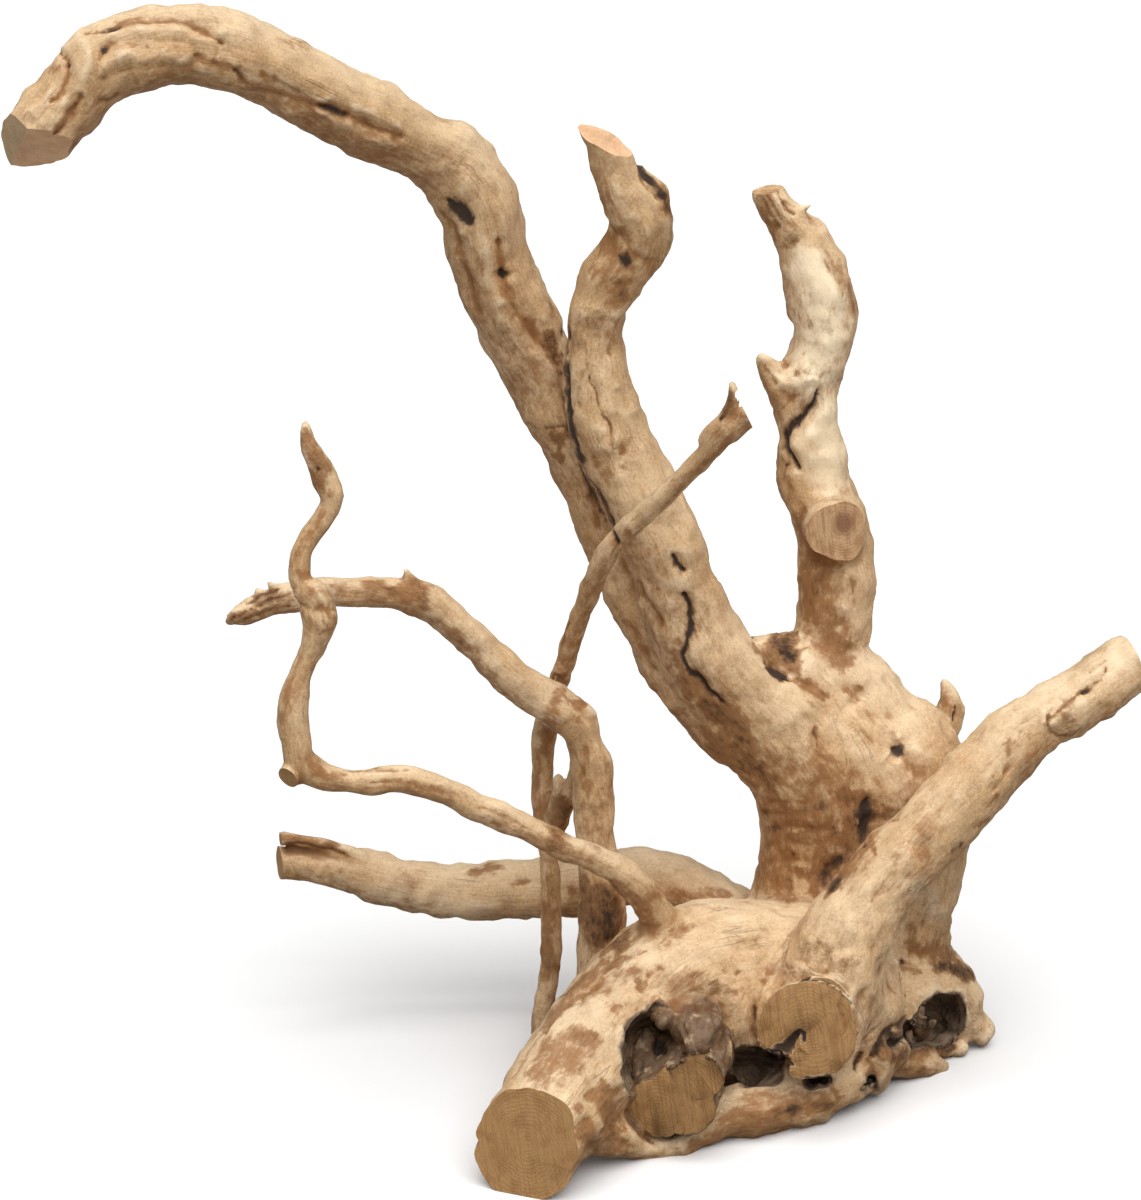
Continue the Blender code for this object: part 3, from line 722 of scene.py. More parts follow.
def survey(places):
    """For each place: distance from the melted skin, nearest limb, grain place, distance from a hollow."""
    count = len(places)
    owner = np.full(count, -1)
    owned = np.full(count, 2 * FAR)
    grain = np.zeros((count, 3))
    skins = []
    for number, (name, line) in enumerate(limb_lines.items()):
        if name in pocket_limbs:
            continue
        chosen = near_box(line, places, OWNER_REACH)
        distance, near, _, radius = beside(line, places[chosen])
        skins.append((chosen, distance, radius))
        closer = distance < owned[chosen]
        mine = chosen[closer]
        owned[mine] = distance[closer]
        owner[mine] = number
        grain[mine] = grain_beside(line, places[mine], near[closer])
    for middle, half_sizes in ROOTSTOCK_LUMPS:
        distance = lump_distance(places, middle, half_sizes)
        skins.append((np.arange(count), distance, np.full(count, LUMP_RADIUS)))
    skin_distance = blended(skins, count)
    hollow = beside_hollows(places)
    skin_distance = np.maximum(skin_distance, -hollow) + soft_rim(skin_distance + hollow)
    for name in pocket_limbs:
        line = limb_lines[name]
        chosen = near_box(line, places, REACH)
        distance, near, _, _ = beside(line, places[chosen])
        before = skin_distance[chosen]
        nearer = distance < before
        mine = chosen[nearer]
        owner[mine] = LIMB_NAMES.index(name)
        grain[mine] = grain_beside(line, places[mine], near[nearer])
        hollow[mine] = FAR
        skin_distance[chosen] = np.minimum(before, distance) - soft_rim(before - distance)
    return skin_distance, owner, grain, hollow

# %% Melt
MELT_ROUNDS = 2
MOST_MELT_MOVE = 4.0

for _ in range(MELT_ROUNDS):
    places = read_points(skin)
    move = np.clip(survey(places)[0], -MOST_MELT_MOVE, MOST_MELT_MOVE)
    move_points(skin, places - read_normals(skin) * move[:, None])
    print("melted, mean move", round(float(np.abs(move).mean()), 3), "mm")

# %% [markdown]
# ## Carry the grain across the joins
#
# Where the nearest limb changes, the grain places jump. Averaging each point with its neighbours in a
# narrow band lets the numbers slide from one limb to the next, as real grain swirls round a branch collar.

# %% Soothe the seams
SEAM_RINGS = 7
SEAM_ROUNDS = 40


def read_edges(mesh):
    ends = np.empty(len(mesh.edges) * 2, np.int32)
    mesh.edges.foreach_get("vertices", ends)
    return ends.reshape(-1, 2)


def neighbour_mean(ends, values):
    """The mean of each point's neighbours, column by column."""
    count = len(values)
    links = np.bincount(ends[:, 0], minlength=count) + np.bincount(ends[:, 1], minlength=count)
    sums = [
        np.bincount(ends[:, 0], values[ends[:, 1], i], count)
        + np.bincount(ends[:, 1], values[ends[:, 0], i], count)
        for i in range(values.shape[1])
    ]
    return np.column_stack(sums) / np.maximum(links, 1)[:, None]


def soothed(mesh, owner, grain):
    ends = read_edges(mesh)
    band = np.zeros(len(owner), bool)
    band[ends[owner[ends[:, 0]] != owner[ends[:, 1]]]] = True
    for _ in range(SEAM_RINGS):
        touched = ends[band[ends].any(1)]
        band[touched] = True
    inner = ends[band[ends].any(1)]
    grain = grain.copy()
    for _ in range(SEAM_ROUNDS):
        mean = neighbour_mean(inner, grain)
        grain[band] = 0.5 * grain[band] + 0.5 * mean[band]
    return grain

# %% [markdown]
# ## Marks of a grown and weathered surface
#
# Folds, cracks, knots, stains and swellings are drawn as strokes on the drawing, like a sculptor working
# from the front. A stroke has a line, a half width, how far it pushes the skin (inward is negative), a
# raised lip, and how dark, stained or rough it leaves the wood. It only works on wood that the eye can see
# there.

# %% What a stroke is
STROKE_STEP = 4.0
MARKS = []


def mark(points, width, push=0.0, lip=0.0, stain=0.0, dark=0.0, rough=0.0, pale=0.0):
    line = np.array(points, float)
    if len(line) > 2:
        line = smooth_line(line, STROKE_STEP)
    MARKS.append({
        "points": line, "width": width, "push": push, "lip": lip,
        "stain": stain, "dark": dark, "rough": rough, "pale": pale,
    })


def marks(settings, rows):
    """Strokes that use the same settings. A row holds the settings' values, and then the points."""
    names = settings.split()
    for row in rows:
        mark(row[len(names):], **dict(zip(names, row)))


def spots(rows, **settings):
    """Round marks. A row holds how far right and up the spot is, and its width."""
    for right, up, width in rows:
        mark([(right, up)], width, **settings)

# %% [markdown]
# ## The long limb
#
# Grooves run round a hood of thicker wood near the tip. A split winds along the arch, two holes sit below
# the bend, and a painted shade darkens the seam where this limb leans on the front limb.

# %% Strokes on the long limb
marks("width push", [
    (4.5, 1.2, (-228, 584.5), (-210, 586), (-194, 585.3)),
    (5, 1.3, (-234, 569), (-222, 572.5), (-208, 573.5), (-194, 572)),
    (5, 1.2, (-84, 535), (-95, 540), (-108, 547)),
    (4, 0.9, (-108, 533), (-96, 529), (-84, 526)),
    (3.4, 1.2, (-244, 560), (-241, 570), (-243, 578)),
    (5, 1.3, (-70, 505.5), (-60, 502.5), (-47, 502.5)),
    (6.5, 1.1, (-45, 480), (-41.5, 465), (-35, 445), (-27, 428)),
])
marks("width stain", [
    (3.2, 0.62, (-146, 581.5), (-138, 579), (-130, 576)),
    (3.6, 0.7, (-263, 567), (-255, 566)),
    (3.4, 0.6, (-64.5, 480), (-60, 462), (-55, 450)),
    (2.8, 0.72, (-13, 451), (-6.5, 440)),
])
marks("width push stain", [
    (2.8, -2, 0.6, (-233, 577), (-222.5, 578.3), (-211, 577)),
    (3.6, -1.7, 0.3, (-233, 561), (-222, 565), (-212, 567), (-202, 568), (-192, 567), (-186, 568)),
    (6.5, -2.2, 0.42, (-176, 577), (-164, 570), (-154, 562.5), (-145, 556), (-134, 551)),
    (1.5, -1.2, 0.55, (-265, 541), (-260, 547.5), (-252, 554)),
    (1.8, -1.4, 0.4, (-238, 562), (-236.5, 570), (-235, 577)),
    (4, 1.6, 0.8, (-30.5, 456)),
    (3, -0.6, 0.75, (22.5, 296), (29, 287.5), (35, 279.5), (41, 266)),
])
marks("width push stain dark", [
    (1.5, -2.2, 0, 0.75, (-236, 586.3), (-225.5, 588.7)),
    (3, 0, 1, 0.2, (-179, 569), (-173, 566.8)),
    (2.4, -1.2, 1, 0.45, (-168, 563.8), (-163, 559.5)),
    (3.4, -0.6, 1, 0.15, (-154, 563), (-147, 558.5)),
    (3, -1.6, 1, 0.8, (-122.5, 546.5), (-111, 542)),
    (2, -1.5, 0, 0.8, (-252, 569.5), (-251.5, 568)),
    (1.4, -1.4, 0.9, 0.2, (-252, 542.5), (-247.5, 548)),
    (2.6, -0.5, 1, 0.3, (-50.5, 455), (-48.5, 449.5)),
    (3.2, -4, 0, 1, (-33.3, 465), (-33, 461)),
    (1.5, -1.2, 1, 0.5, (-30.5, 455.5)),
    (3.8, -0.6, 0.95, 0.12, (-22, 441), (-14, 431), (-7, 417), (-4, 403)),
    (1.6, -1.2, 0.7, 0.5, (-12.5, 385.5), (-3, 387)),
    # The seam where this limb leans on the front limb: a groove with painted shade in it.
    (2.5, -3.4, 1, 0.95, (-2.2, 436), (-3.2, 425), (-3.5, 410), (-2, 400), (-1, 387.5), (3, 375),
     (8.5, 360), (14.5, 347.5), (21, 335), (24, 327)),
    (2.8, -0.8, 0.95, 0.15, (10, 357), (12.5, 345), (14, 335)),
])
marks("width push lip stain dark", [
    (2.6, -3, 0.6, 0.75, 0.1, (-243, 584), (-235, 585.5), (-225, 588.5), (-217, 591), (-210, 590.5),
     (-196, 590), (-190, 588.5), (-182, 585), (-173, 579)),
    (3, -4.5, 0.6, 0, 1, (-233.5, 575.3)),
    (3.4, -1.8, 0.5, 0.25, 0, (-230, 580), (-222, 581.5), (-210, 581.3), (-197, 580), (-187, 577.5),
     (-176, 572)),
    (2.7, -2.8, 0.5, 0.85, 0.25, (-187, 571.5), (-179, 568.5), (-173, 566.5), (-167, 563.5), (-163, 560),
     (-160, 556), (-154, 553.5), (-142, 550.5), (-132, 548), (-124, 546)),
    (2.5, -2.8, 0.9, 0.8, 0.2, (-126, 548), (-120, 546), (-112.5, 543), (-104, 539), (-95, 535),
     (-89, 533.5), (-84, 531.5)),
    (1.9, -2.2, 0.6, 0.85, 0, (-257, 575), (-252.5, 571), (-252, 565), (-253, 559), (-257, 552.5),
     (-260, 549.5)),
    (2.8, -3, 0.6, 0.7, 0.35, (-257, 532), (-252.5, 537.5), (-247.5, 545), (-245, 552.5)),
    (5.6, -1.8, 0.6, 0, 1, (-60.5, 499), (-54, 494.5), (-49.5, 488.5)),
    (2.6, -1.9, 0.4, 0.85, 0, (-64.5, 494), (-59, 487.5), (-56, 477.5), (-53, 465), (-49.5, 452.5),
     (-44.5, 442.5)),
    (3.4, -3, 0.7, 0.85, 0.1, (-35.5, 480), (-35, 469), (-33.5, 460), (-29, 447.5), (-23.5, 440),
     (-17.5, 431.5), (-11, 425), (-6, 416)),
    (1.9, -2, 0.4, 0.9, 0.3, (26.5, 321), (31, 310), (35, 302.5), (41, 294), (45.5, 287)),
])
marks("width push stain dark rough", [
    (8, 0.5, 0.6, 0.12, 1, (-7, 379)),
    (4, 0, 0.5, 0.35, 0.6, (-13, 377), (-12.5, 369)),
    (3.8, -0.6, 1, 0.42, 1, (-12, 436), (-9, 428), (-7, 418)),
    (3.6, -0.5, 1, 0.24, 1, (-10, 385), (-5, 379), (-6, 370)),
    (2.6, -0.6, 0.75, 0, 0.5, (-235, 551), (-229, 548.5), (-223, 551)),
])
spots([(-131.5, 536.5, 2.4), (-122.5, 531.5, 2.4), (-114, 527.5, 2.4)], push=-1.2, stain=0.95, dark=0.2)
print(len(MARKS), "strokes")

# %% [markdown]
# ## The front limb
#
# Under the tip a torn patch has turned dark, above a round hole. A deep crack winds down to the neck, where
# brown bark still clings.

# %% Strokes on the front limb
marks("width push", [
    (7, 1, (38, 482), (44, 478)),
    (5.5, 2, (47, 309), (56, 307), (64, 309.5)),
    (5, 1, (57, 326), (62, 318)),
    (5, 1.3, (66, 300), (68, 285), (66, 272), (72, 262)),
])
marks("width push stain", [
    (7, 0.7, 0.5, (26.5, 469.5)),
    (2.6, -0.6, 0.95, (26.5, 374)),
    (2.2, -1.4, 0.4, (43, 304.5), (50, 302.5), (57, 302.5)),
    (5.5, -1.6, 0.45, (55, 300), (56, 285), (53, 272), (57, 262), (66, 255)),
    (3, -0.6, 0.9, (64, 246), (72, 240.5), (78, 236)),
    (9, 0, 0.52, (13, 482), (20, 473), (21, 458), (15, 444)),
])
marks("width push stain dark", [
    (3.2, -0.3, 1, 0.34, (24, 461), (25.5, 451)),
    (3.8, -0.2, 1, 0.12, (15.5, 480), (21, 472)),
    (1.2, -1, 0.7, 0.2, (33, 519), (35, 511), (38, 505), (42, 500)),
    (1.2, -1, 0.7, 0.3, (9.5, 419), (6, 412), (3.5, 405), (4.5, 396)),
    (1.2, -1, 0.75, 0.3, (3.5, 399), (0.5, 394), (1.5, 387), (5, 378)),
    (7, 0, 1, 0.3, (66, 251), (76, 238), (88, 226)),
    (4, -0.4, 1, 0.15, (59, 262), (64, 250), (72, 236)),
    (8, -0.3, 1, 0.32, (84, 222), (95, 213), (101, 205)),
    (3, -0.3, 1, 0.1, (52, 275), (55, 262), (60, 250)),
    (5, -0.8, 1, 0.25, (67, 247), (75, 243), (84, 236)),
    (4.5, -0.6, 1, 0.15, (80, 227), (88, 226), (95, 222)),
    (5, -0.5, 1, 0.12, (71, 251), (79, 246), (86, 238), (90.5, 226), (88.5, 217)),
])
marks("width push lip stain dark", [
    (1.7, -1.4, 0.5, 0.7, 0, (19, 487.5), (26, 481), (31, 474), (36, 470.5), (46, 470)),
    (4.4, -2, 0.9, 0, 1, (26.5, 469.5)),
    (1.25, -1.7, 0.2, 0.5, 0.62, (9, 416), (11, 407.5), (14, 400), (15.5, 394), (19, 389), (20, 382.5),
     (20.5, 376)),
    (1.9, -3.2, 0.5, 0.8, 0.95, (51, 323), (54, 319), (58, 314)),
    (2.7, -3.8, 0.5, 1, 0.95, (57, 302.5), (60.3, 297), (60.5, 285), (58, 278.5), (56.5, 272), (58.5, 265),
     (65, 259), (71, 252.5), (75, 249)),
])
marks("width push stain dark rough", [
    (3.4, 0.4, 0, 0.9, 0.4, (34.5, 517), (37, 513), (39.5, 509)),
    (2.8, -0.4, 1, 0.8, 1, (38.5, 512), (42, 506), (45.5, 500)),
    (2.6, 0, 1, 0.4, 1, (46.5, 499), (48, 492)),
    (3.4, 0.3, 1, 0.3, 1, (41, 508), (45, 504), (48, 499), (47.5, 494)),
    (7, 0.4, 0.45, 0, 1, (26, 377)),
])
for height in (450, 446, 441, 437):
    mark([(6.5, height), (14, height - 1.4)], 1.5, push=-0.7, stain=0.35)
for height in (440.5, 427.5, 424):
    mark([(14, height), (21, height - 1.2)], 1.6, push=-0.8, lip=0.3)
spots([(19, 481, 4.5), (26, 485, 3.5), (14, 467, 4), (26, 458, 3.8), (22.5, 450, 3.6), (41, 466, 4.6),
       (17, 474, 4)], push=-0.25, stain=0.86)
spots([(7.5, 378, 3.2), (11, 372, 3), (13.5, 368, 2.6), (16.5, 362, 4.8), (28, 366, 3)], push=-0.3,
       stain=0.95)
spots([(43, 303, 3), (44.5, 289, 3.4), (49, 266, 3), (52, 258, 3), (54, 243, 3.4), (60, 236, 2.6),
       (70, 222, 3), (85, 226, 3.2), (61, 252, 2.4)], push=-0.25, stain=0.84)
print(len(MARKS), "strokes")

# %% [markdown]
# ## The neck
#
# The neck is swirling wood with a round hole, a star of short cracks, ripples across the grain and broad
# brown washes, partly stain and partly painted shade from the limbs above. A painted shade fills the recess
# under the right branch, and a painted light brightens the wood that this branch shades.

# %% Strokes on the neck
marks("width push", [
    (7, 0.7, (106, 250), (96, 243), (86, 236)),
    (6, 0.9, (150, 240), (163, 233), (172, 226)),
    (6, 0.9, (131, 212), (140, 206), (150, 208)),
])
# Broad brown washes: partly stain, partly painted shade from the limbs above.
marks("width stain", [
    (13, 0.72, (96, 216), (103, 190), (103, 160)),
    (19, 0.8, (120, 206), (124, 182), (122, 160)),
    (13, 0.76, (138, 208), (142, 186), (138, 164)),
    (12, 0.66, (100, 216), (120, 213), (142, 214)),
    (8, 0.5, (70, 226), (84, 216), (95, 206)),
    (12, 0.3, (110, 240), (118, 226), (126, 214)),
    (6, 0.6, (180, 176), (176, 166), (171, 160)),
])
marks("width push stain", [
    (4.5, -1.6, 0.75, (163, 226), (170, 218), (178, 210)),
    (4, -1.2, 0.4, (150, 243), (158, 234), (164, 228)),
    (6, -2.2, 0.5, (143.5, 254.5), (147, 251)),
    (2.4, -1.2, 0.5, (140, 237), (150, 231), (158, 226)),
    (2, 1, 0.8, (92, 274), (99, 275), (104, 279)),
    (6, -1.3, 0.7, (142.5, 258), (141, 252)),
    (5, -0.8, 0.7, (92, 168), (100, 156), (112, 151)),
])
marks("width push stain dark", [
    (2.2, -1.2, 1, 0.25, (113, 262), (120, 257.5), (130, 252)),
    (7, -0.8, 1, 0.42, (131, 167), (127, 160), (121, 153)),
    (6.4, -0.6, 1, 0.62, (147, 198), (147, 186)),
    (6, 0, 0.9, 0.12, (64, 236), (78, 222), (92, 212)),
    (4.4, -4.5, 1, 0.95, (99, 269), (104, 265), (109, 262)),
    (3.6, -2.6, 1, 0.6, (105, 277), (110, 274), (112, 270)),
    (4, -0.6, 0.9, 0.1, (90, 279), (97, 275), (104, 274)),
    (3.6, -3, 1, 0.85, (148.5, 200), (147, 192), (147.5, 184), (146, 177)),
    (8.5, -1.2, 1, 0.22, (147, 199), (149, 188), (147, 176)),
    (4.6, -0.4, 1, 0.1, (133, 201), (142, 202.5), (152, 198)),
    (4, -0.4, 0.95, 0.2, (155, 196), (161, 193)),
    # Painted shade in the recess under the right branch.
    (5, -1.6, 1, 0.5, (126, 157), (132, 165), (141, 175)),
])
marks("width push lip stain dark", [
    (5.4, -4, 0.4, 0, 1, (161.5, 226.4), (165.4, 223.6)),
    (2, -1.4, 0.2, 0.8, 0, (108, 262), (118, 256), (128, 250)),
    (1.7, -1.3, 0.3, 0.85, 0.4, (122, 236), (123.5, 228), (123.5, 224), (128, 220)),
])
marks("width push stain dark rough", [
    (7, -0.4, 1, 0.36, 1, (100, 284), (108, 277), (113, 271)),
    (4, -0.6, 1, 0.35, 1, (101, 283), (107, 280), (113, 283)),
    (9, 0, 1, 0, 0.9, (104, 281), (108, 272), (114, 266)),
])
for end in ((135, 200), (157, 198), (163, 191), (138, 174), (152, 172)):
    mark([(148, 190), end], 1.6, push=-0.7, stain=0.95, dark=0.3)
spots([(126, 197.5, 5.5), (121.5, 185.5, 3.2), (131, 185.5, 3.4), (136, 187.5, 2.4), (102, 186, 3.4),
       (108.5, 158, 4.4), (118, 196, 3.4), (97, 195, 2.6), (110, 172, 2.6), (128, 159, 5), (134, 170, 3.6),
       (122, 232, 2.4), (120, 226, 2.2)], push=-0.4, stain=1, dark=0.6)
for height in (199, 193, 186, 178, 169):
    ripple = [(98, height), (108, height + 0.6), (118, height - 0.5)]
    mark(ripple, 1.6, push=-0.9, stain=1, dark=0.22)
    mark([(100, height - 3), (112, height - 2.4), (126, height - 4)], 2.4, push=0.7)
# Painted light on the wood that the right branch shades, with rough fibres.
mark([(172, 158), (180, 150), (185, 141)], 7, push=-0.8, stain=0.15, rough=1, pale=0.4)
mark([(156, 238), (168, 228), (180, 222)], 7, push=1.4, pale=0.3)
mark([(128, 240), (142, 230), (156, 218), (168, 207)], 8, push=1.4, pale=0.2)
print(len(MARKS), "strokes")

# %% [markdown]
# ## The upright limb
#
# The upper half is whitened by the sun and made paler still by a painted highlight. A dark crack curls round
# the knob under a flange darkened with painted shade, and stains gather at the tip and round the sawn stub,
# with painted shade below the stub.

# %% Strokes on the upright limb
marks("width stain", [
    (14, 0.88, (125, 320), (128, 300), (131, 284), (137, 268)),
    (3, 0.9, (142.5, 448)),
    # Brown fibres under the sawn stub, deepened by painted shade.
    (6.5, 0.85, (117, 325), (116.5, 308), (118, 290)),
    (4, 0.8, (117, 347), (114.5, 337), (116, 326)),
    (6, 0.62, (188, 254), (187, 243)),
])
marks("width push stain", [
    (3, -0.3, 0.72, (107, 476), (115, 479)),
    (1, -0.9, 0.8, (95, 501), (98, 494), (104, 486)),
    (1.6, -0.9, 0.55, (117, 498), (121, 490), (126, 485)),
    (4.4, -0.5, 0.62, (129, 474), (137, 461), (142, 449), (143, 441)),
    (1.4, -0.8, 0.6, (127, 470), (133, 462), (136, 452)),
    (2, -0.4, 0.85, (112.5, 413.5), (121, 413)),
    # Broad hollows under the knob's flange, browned as painted shade.
    (6, -2.6, 0.4, (110, 401), (116, 396), (122, 404)),
    (7, -2.2, 0.45, (119, 406), (112, 402), (106, 404)),
    (1.5, -0.9, 0.6, (98, 417), (103, 408)),
    (3, -0.3, 0.55, (103, 366), (108, 360), (114, 352)),
    (1.6, -0.8, 0.6, (140, 312), (141.5, 296)),
    (4.5, -0.9, 0.25, (126, 322), (126, 300), (129, 285)),
    (6.5, 1.3, 0, (118, 384), (119, 375)),
    (4, 0.8, 0, (146, 340), (150, 320), (149, 305)),
])
marks("width push stain dark", [
    (3, 0, 0.7, 0.15, (91, 504), (98, 503)),
    (1.2, -1.6, 0.8, 0.6, (104, 505), (107, 499), (112, 493)),
    (1, -1, 0.8, 0.2, (98, 503), (101, 497), (106, 490)),
    (3, -3, 0.5, 0.5, (125.5, 405.5), (122.5, 399.5), (118.5, 394.5), (113.5, 390.5), (109, 387),
     (106.6, 382.5), (106.8, 376.5), (110, 371), (114.5, 365)),
    (2, -2, 0, 0.8, (125, 404.5), (122, 398.5), (118, 393), (112.5, 389), (108.5, 386), (106.9, 382),
     (107.2, 376.5), (110.2, 370.5), (114.2, 365.3)),
    (1.8, -1.4, 0.8, 0.8, (107, 368)),
    (4.2, -1, 0.9, 0.1, (116, 335), (120, 327), (127, 322.5)),
    (4, -1, 0.9, 0.15, (118, 322), (127, 320), (138, 322)),
    (2.4, -1, 1, 0.25, (117.5, 292.5)),
    (2.2, 0, 1, 0.35, (183, 247.5), (184.6, 251)),
    (1, -2.4, 0, 0.9, (192.6, 247), (191.2, 240)),
])
marks("width push stain rough", [
    (3.8, -0.5, 0.9, 0.5, (92, 495), (97.5, 487), (101, 480)),
    (7, 0, 0.5, 0.9, (98, 500), (106, 492), (112, 482)),
    (4.6, -2.6, 0.5, 0.8, (119, 333), (121, 326), (126, 321)),
    (3, 1.1, 0, 0.4, (119.5, 346), (131, 352), (145, 348)),
])
marks("width push pale", [
    # The pale upper half: whitened by the sun, and paler still by a painted highlight.
    (19, 0, 0.9, (116, 472), (124, 455), (125, 440), (121, 422), (121, 402)),
    (14, 0, 0.7, (126, 400), (128, 375), (130, 352)),
    (1.6, 1, 0.3, (112, 394), (104, 388), (102.5, 379), (106, 371)),
    (2.2, 1.3, 0.4, (99, 416), (106, 409), (118, 409), (124, 410)),
])
mark([(105.5, 421.5), (109, 416.5)], 1.7, push=-1.3, lip=0.3, stain=0.9)
print(len(MARKS), "strokes")

# %% [markdown]
# ## The right branch
#
# Narrow grooves run along this pale branch, and one winds round a rough swelling. Its upper end is made
# paler by a painted highlight.

# %% Strokes on the right branch
marks("width push stain", [
    (1.5, -0.8, 0.75, (267.5, 271.5), (262.5, 267), (260, 263.5)),
    (1.2, -0.8, 0.7, (245, 243), (249, 240), (246, 236)),
    (5.4, -1.8, 0.36, (236, 241), (228, 234), (219, 227), (207, 215)),
    (1.2, -0.8, 0.4, (214, 217), (211, 211)),
    (1.3, -0.9, 0.45, (222, 219), (217, 212), (211, 204)),
    (1.5, -0.9, 0.7, (208, 190.5), (202, 186)),
    (3, 0.7, 0.4, (216, 245), (223, 246.5)),
    (1.3, -0.7, 0.5, (164, 172), (157, 160), (150, 148)),
    (1.3, -0.7, 0.5, (172, 168), (163, 154)),
    (3, 0.7, 0, (243, 260.5), (247, 262)),
    (8, 0, 0.42, (186, 196), (180, 187), (174, 177)),
    (10, 0, 0.34, (180, 187), (172, 176), (163, 164)),
])
marks("width push stain dark", [
    (2, -1.5, 0, 0.85, (255.5, 252.5), (260, 255)),
    (2.2, -1.2, 0.8, 0.5, (249, 236)),
    (1.8, -1.8, 0.6, 0.5, (196, 178.5), (190, 174.5)),
])
marks("width push lip stain dark", [
    (1.9, -1.9, 0.5, 0.8, 0.42, (267.5, 267.5), (265.5, 260), (258, 255), (251, 250.5), (245, 245.5),
     (239, 240)),
    (1.5, -1.6, 0.3, 0.8, 0.45, (240, 245), (238.5, 238), (244.5, 231.5), (251, 232.5), (255, 237)),
    (1.4, -1.1, 0.4, 0.5, 0, (217.5, 231), (219.5, 222), (217, 213)),
])
marks("width push stain rough", [
    (8, 1.3, 0.3, 0.9, (247, 239.5)),
    (2.4, -0.9, 0.9, 0.5, (214, 203), (209, 197)),
    (9, -0.6, 0.3, 1, (177, 148), (182, 138), (188, 127)),
    (6, -0.4, 0.7, 1, (168, 138), (172, 130)),
])
# A painted highlight on the upper end of the branch.
mark([(262, 264), (274, 272), (284, 281)], 12, pale=0.5)
print(len(MARKS), "strokes")

# %% [markdown]
# ## The foot
#
# Brown bark clings to the top of the foot. The big hollow is dark inside, with a dirty rim.

# %% Strokes on the foot
marks("width stain", [
    (8, 0.42, (44, 104), (52, 108), (62, 106)),
    (15, 0.78, (-18, 62), (-4, 72), (12, 80)),
    (12, 0.3, (20, 84), (36, 102), (60, 110)),
    (6, 0.6, (8, 30), (18, 24), (32, 20)),
    (4, 0.5, (70, 146), (78, 144)),
    (5, 0.45, (30, 22), (50, 22), (70, 30)),
])
marks("width push stain", [
    (1.2, -0.8, 0.6, (-33, 57), (-21, 74), (-12, 85)),
    (1.3, -0.9, 0.7, (-4, 101), (8, 112), (24, 122)),
    (1.2, -0.8, 0.6, (12, 108), (22, 117), (38, 125)),
    (3.2, -0.3, 0.85, (20, 95), (25, 98)),
    (4.4, -0.8, 0.95, (8, 52), (16, 52), (26, 56)),
    (3.2, -0.2, 0.9, (2, 44), (6, 48)),
    (4, -0.4, 0.9, (40, 99), (58, 97), (76, 98)),
    (5, 1, 0, (84, 100), (86, 88), (90, 80)),
])
marks("width push stain dark", [
    (5.4, -2, 0.9, 0.25, (20, 38), (24, 30), (30, 28)),
    (2.4, -1.6, 0.9, 0.5, (28, 44), (34, 36), (42, 29)),
    (9, 0, 0, 0.4, (34, 90), (34, 76), (38, 62)),
    (4, -3, 0, 0.9, (44, 80), (46, 74)),
    (7, 0, 1, 0.2, (17, 53), (20, 42), (22, 30)),
    (6.5, -0.8, 0.98, 0.1, (17, 58), (20, 47), (23, 38)),
])
marks("width push stain rough", [
    (7.5, 0.3, 0.3, 1, (-22, 80), (-6, 99), (13, 112), (33, 124)),
    (4.6, -0.4, 0.8, 1, (32, 107), (38, 110)),
    (5, -0.2, 0.62, 1, (-4, 98), (10, 110), (26, 121)),
    (4, -0.2, 0.5, 1, (4, 96), (20, 108), (36, 117)),
    (4.5, -0.2, 0.6, 1, (-14, 84), (-6, 92), (2, 98)),
    (4, -0.3, 0.62, 0.9, (2, 83), (7, 80), (13, 84)),
    (7, -0.3, 0.55, 0.8, (62, 112), (72, 107), (82, 104)),
    (5, 0, 0.55, 0.5, (45, 127), (52, 133), (60, 138)),
])
for middle, width, depth in (((39, 114), 2.4, -1.5), ((44, 116.5), 1.8, -1.3), ((77.5, 115), 2.2, -1),
                             ((84, 113.5), 1.6, -1), ((100, 114), 3, -1.4), ((96, 110.5), 2, -1)):
    mark([middle], width, push=depth, stain=0.98, dark=0.3)
mark([(-12, 82), (-5, 92.5), (9, 104.5), (20, 112.5)], 1.4, push=-1.2, lip=0.3, stain=0.8, dark=0.15)
mark([(10, 40), (7.5, 32), (12, 25)], 4.6, push=-2.4, lip=0.4, stain=1, dark=0.35)
print(len(MARKS), "strokes")

# %% [markdown]
# ## The right of the rootstock
#
# Holes, slits and creases cut in between rough lumps, and they are painted darker than the wood round them.
# In the middle hollow this dark is a painted shade.

# %% Strokes on the right of the rootstock
marks("width stain", [
    (8, 0.3, (84, 108), (96, 102), (108, 106)),
    (11, 0.66, (85, 47), (100, 49), (114, 50), (126, 55)),
    (8, 0.72, (60, 27), (80, 34), (102, 38), (122, 48)),
    (5, 0.5, (131, 70), (130, 60), (127, 50)),
    (6, 0.48, (66, 42), (90, 38), (110, 37)),
])
marks("width push stain", [
    (1.4, 2.6, 0.3, (154, 74), (157.6, 68), (156.6, 62), (152.8, 56)),
    (1.6, -0.8, 0.5, (112, 121), (120, 120)),
    (3, -1, 0.5, (126, 52), (128, 46)),
    (3.4, -1.6, 0.65, (147, 106), (143, 92), (147, 78)),
    (3, -1.6, 0.6, (156, 121), (157, 113), (162, 104)),
    (4.6, -0.4, 0.75, (161, 117), (168, 116), (176, 115)),
    (2.4, 1.2, 0, (150, 104), (158, 95), (164, 84)),
])
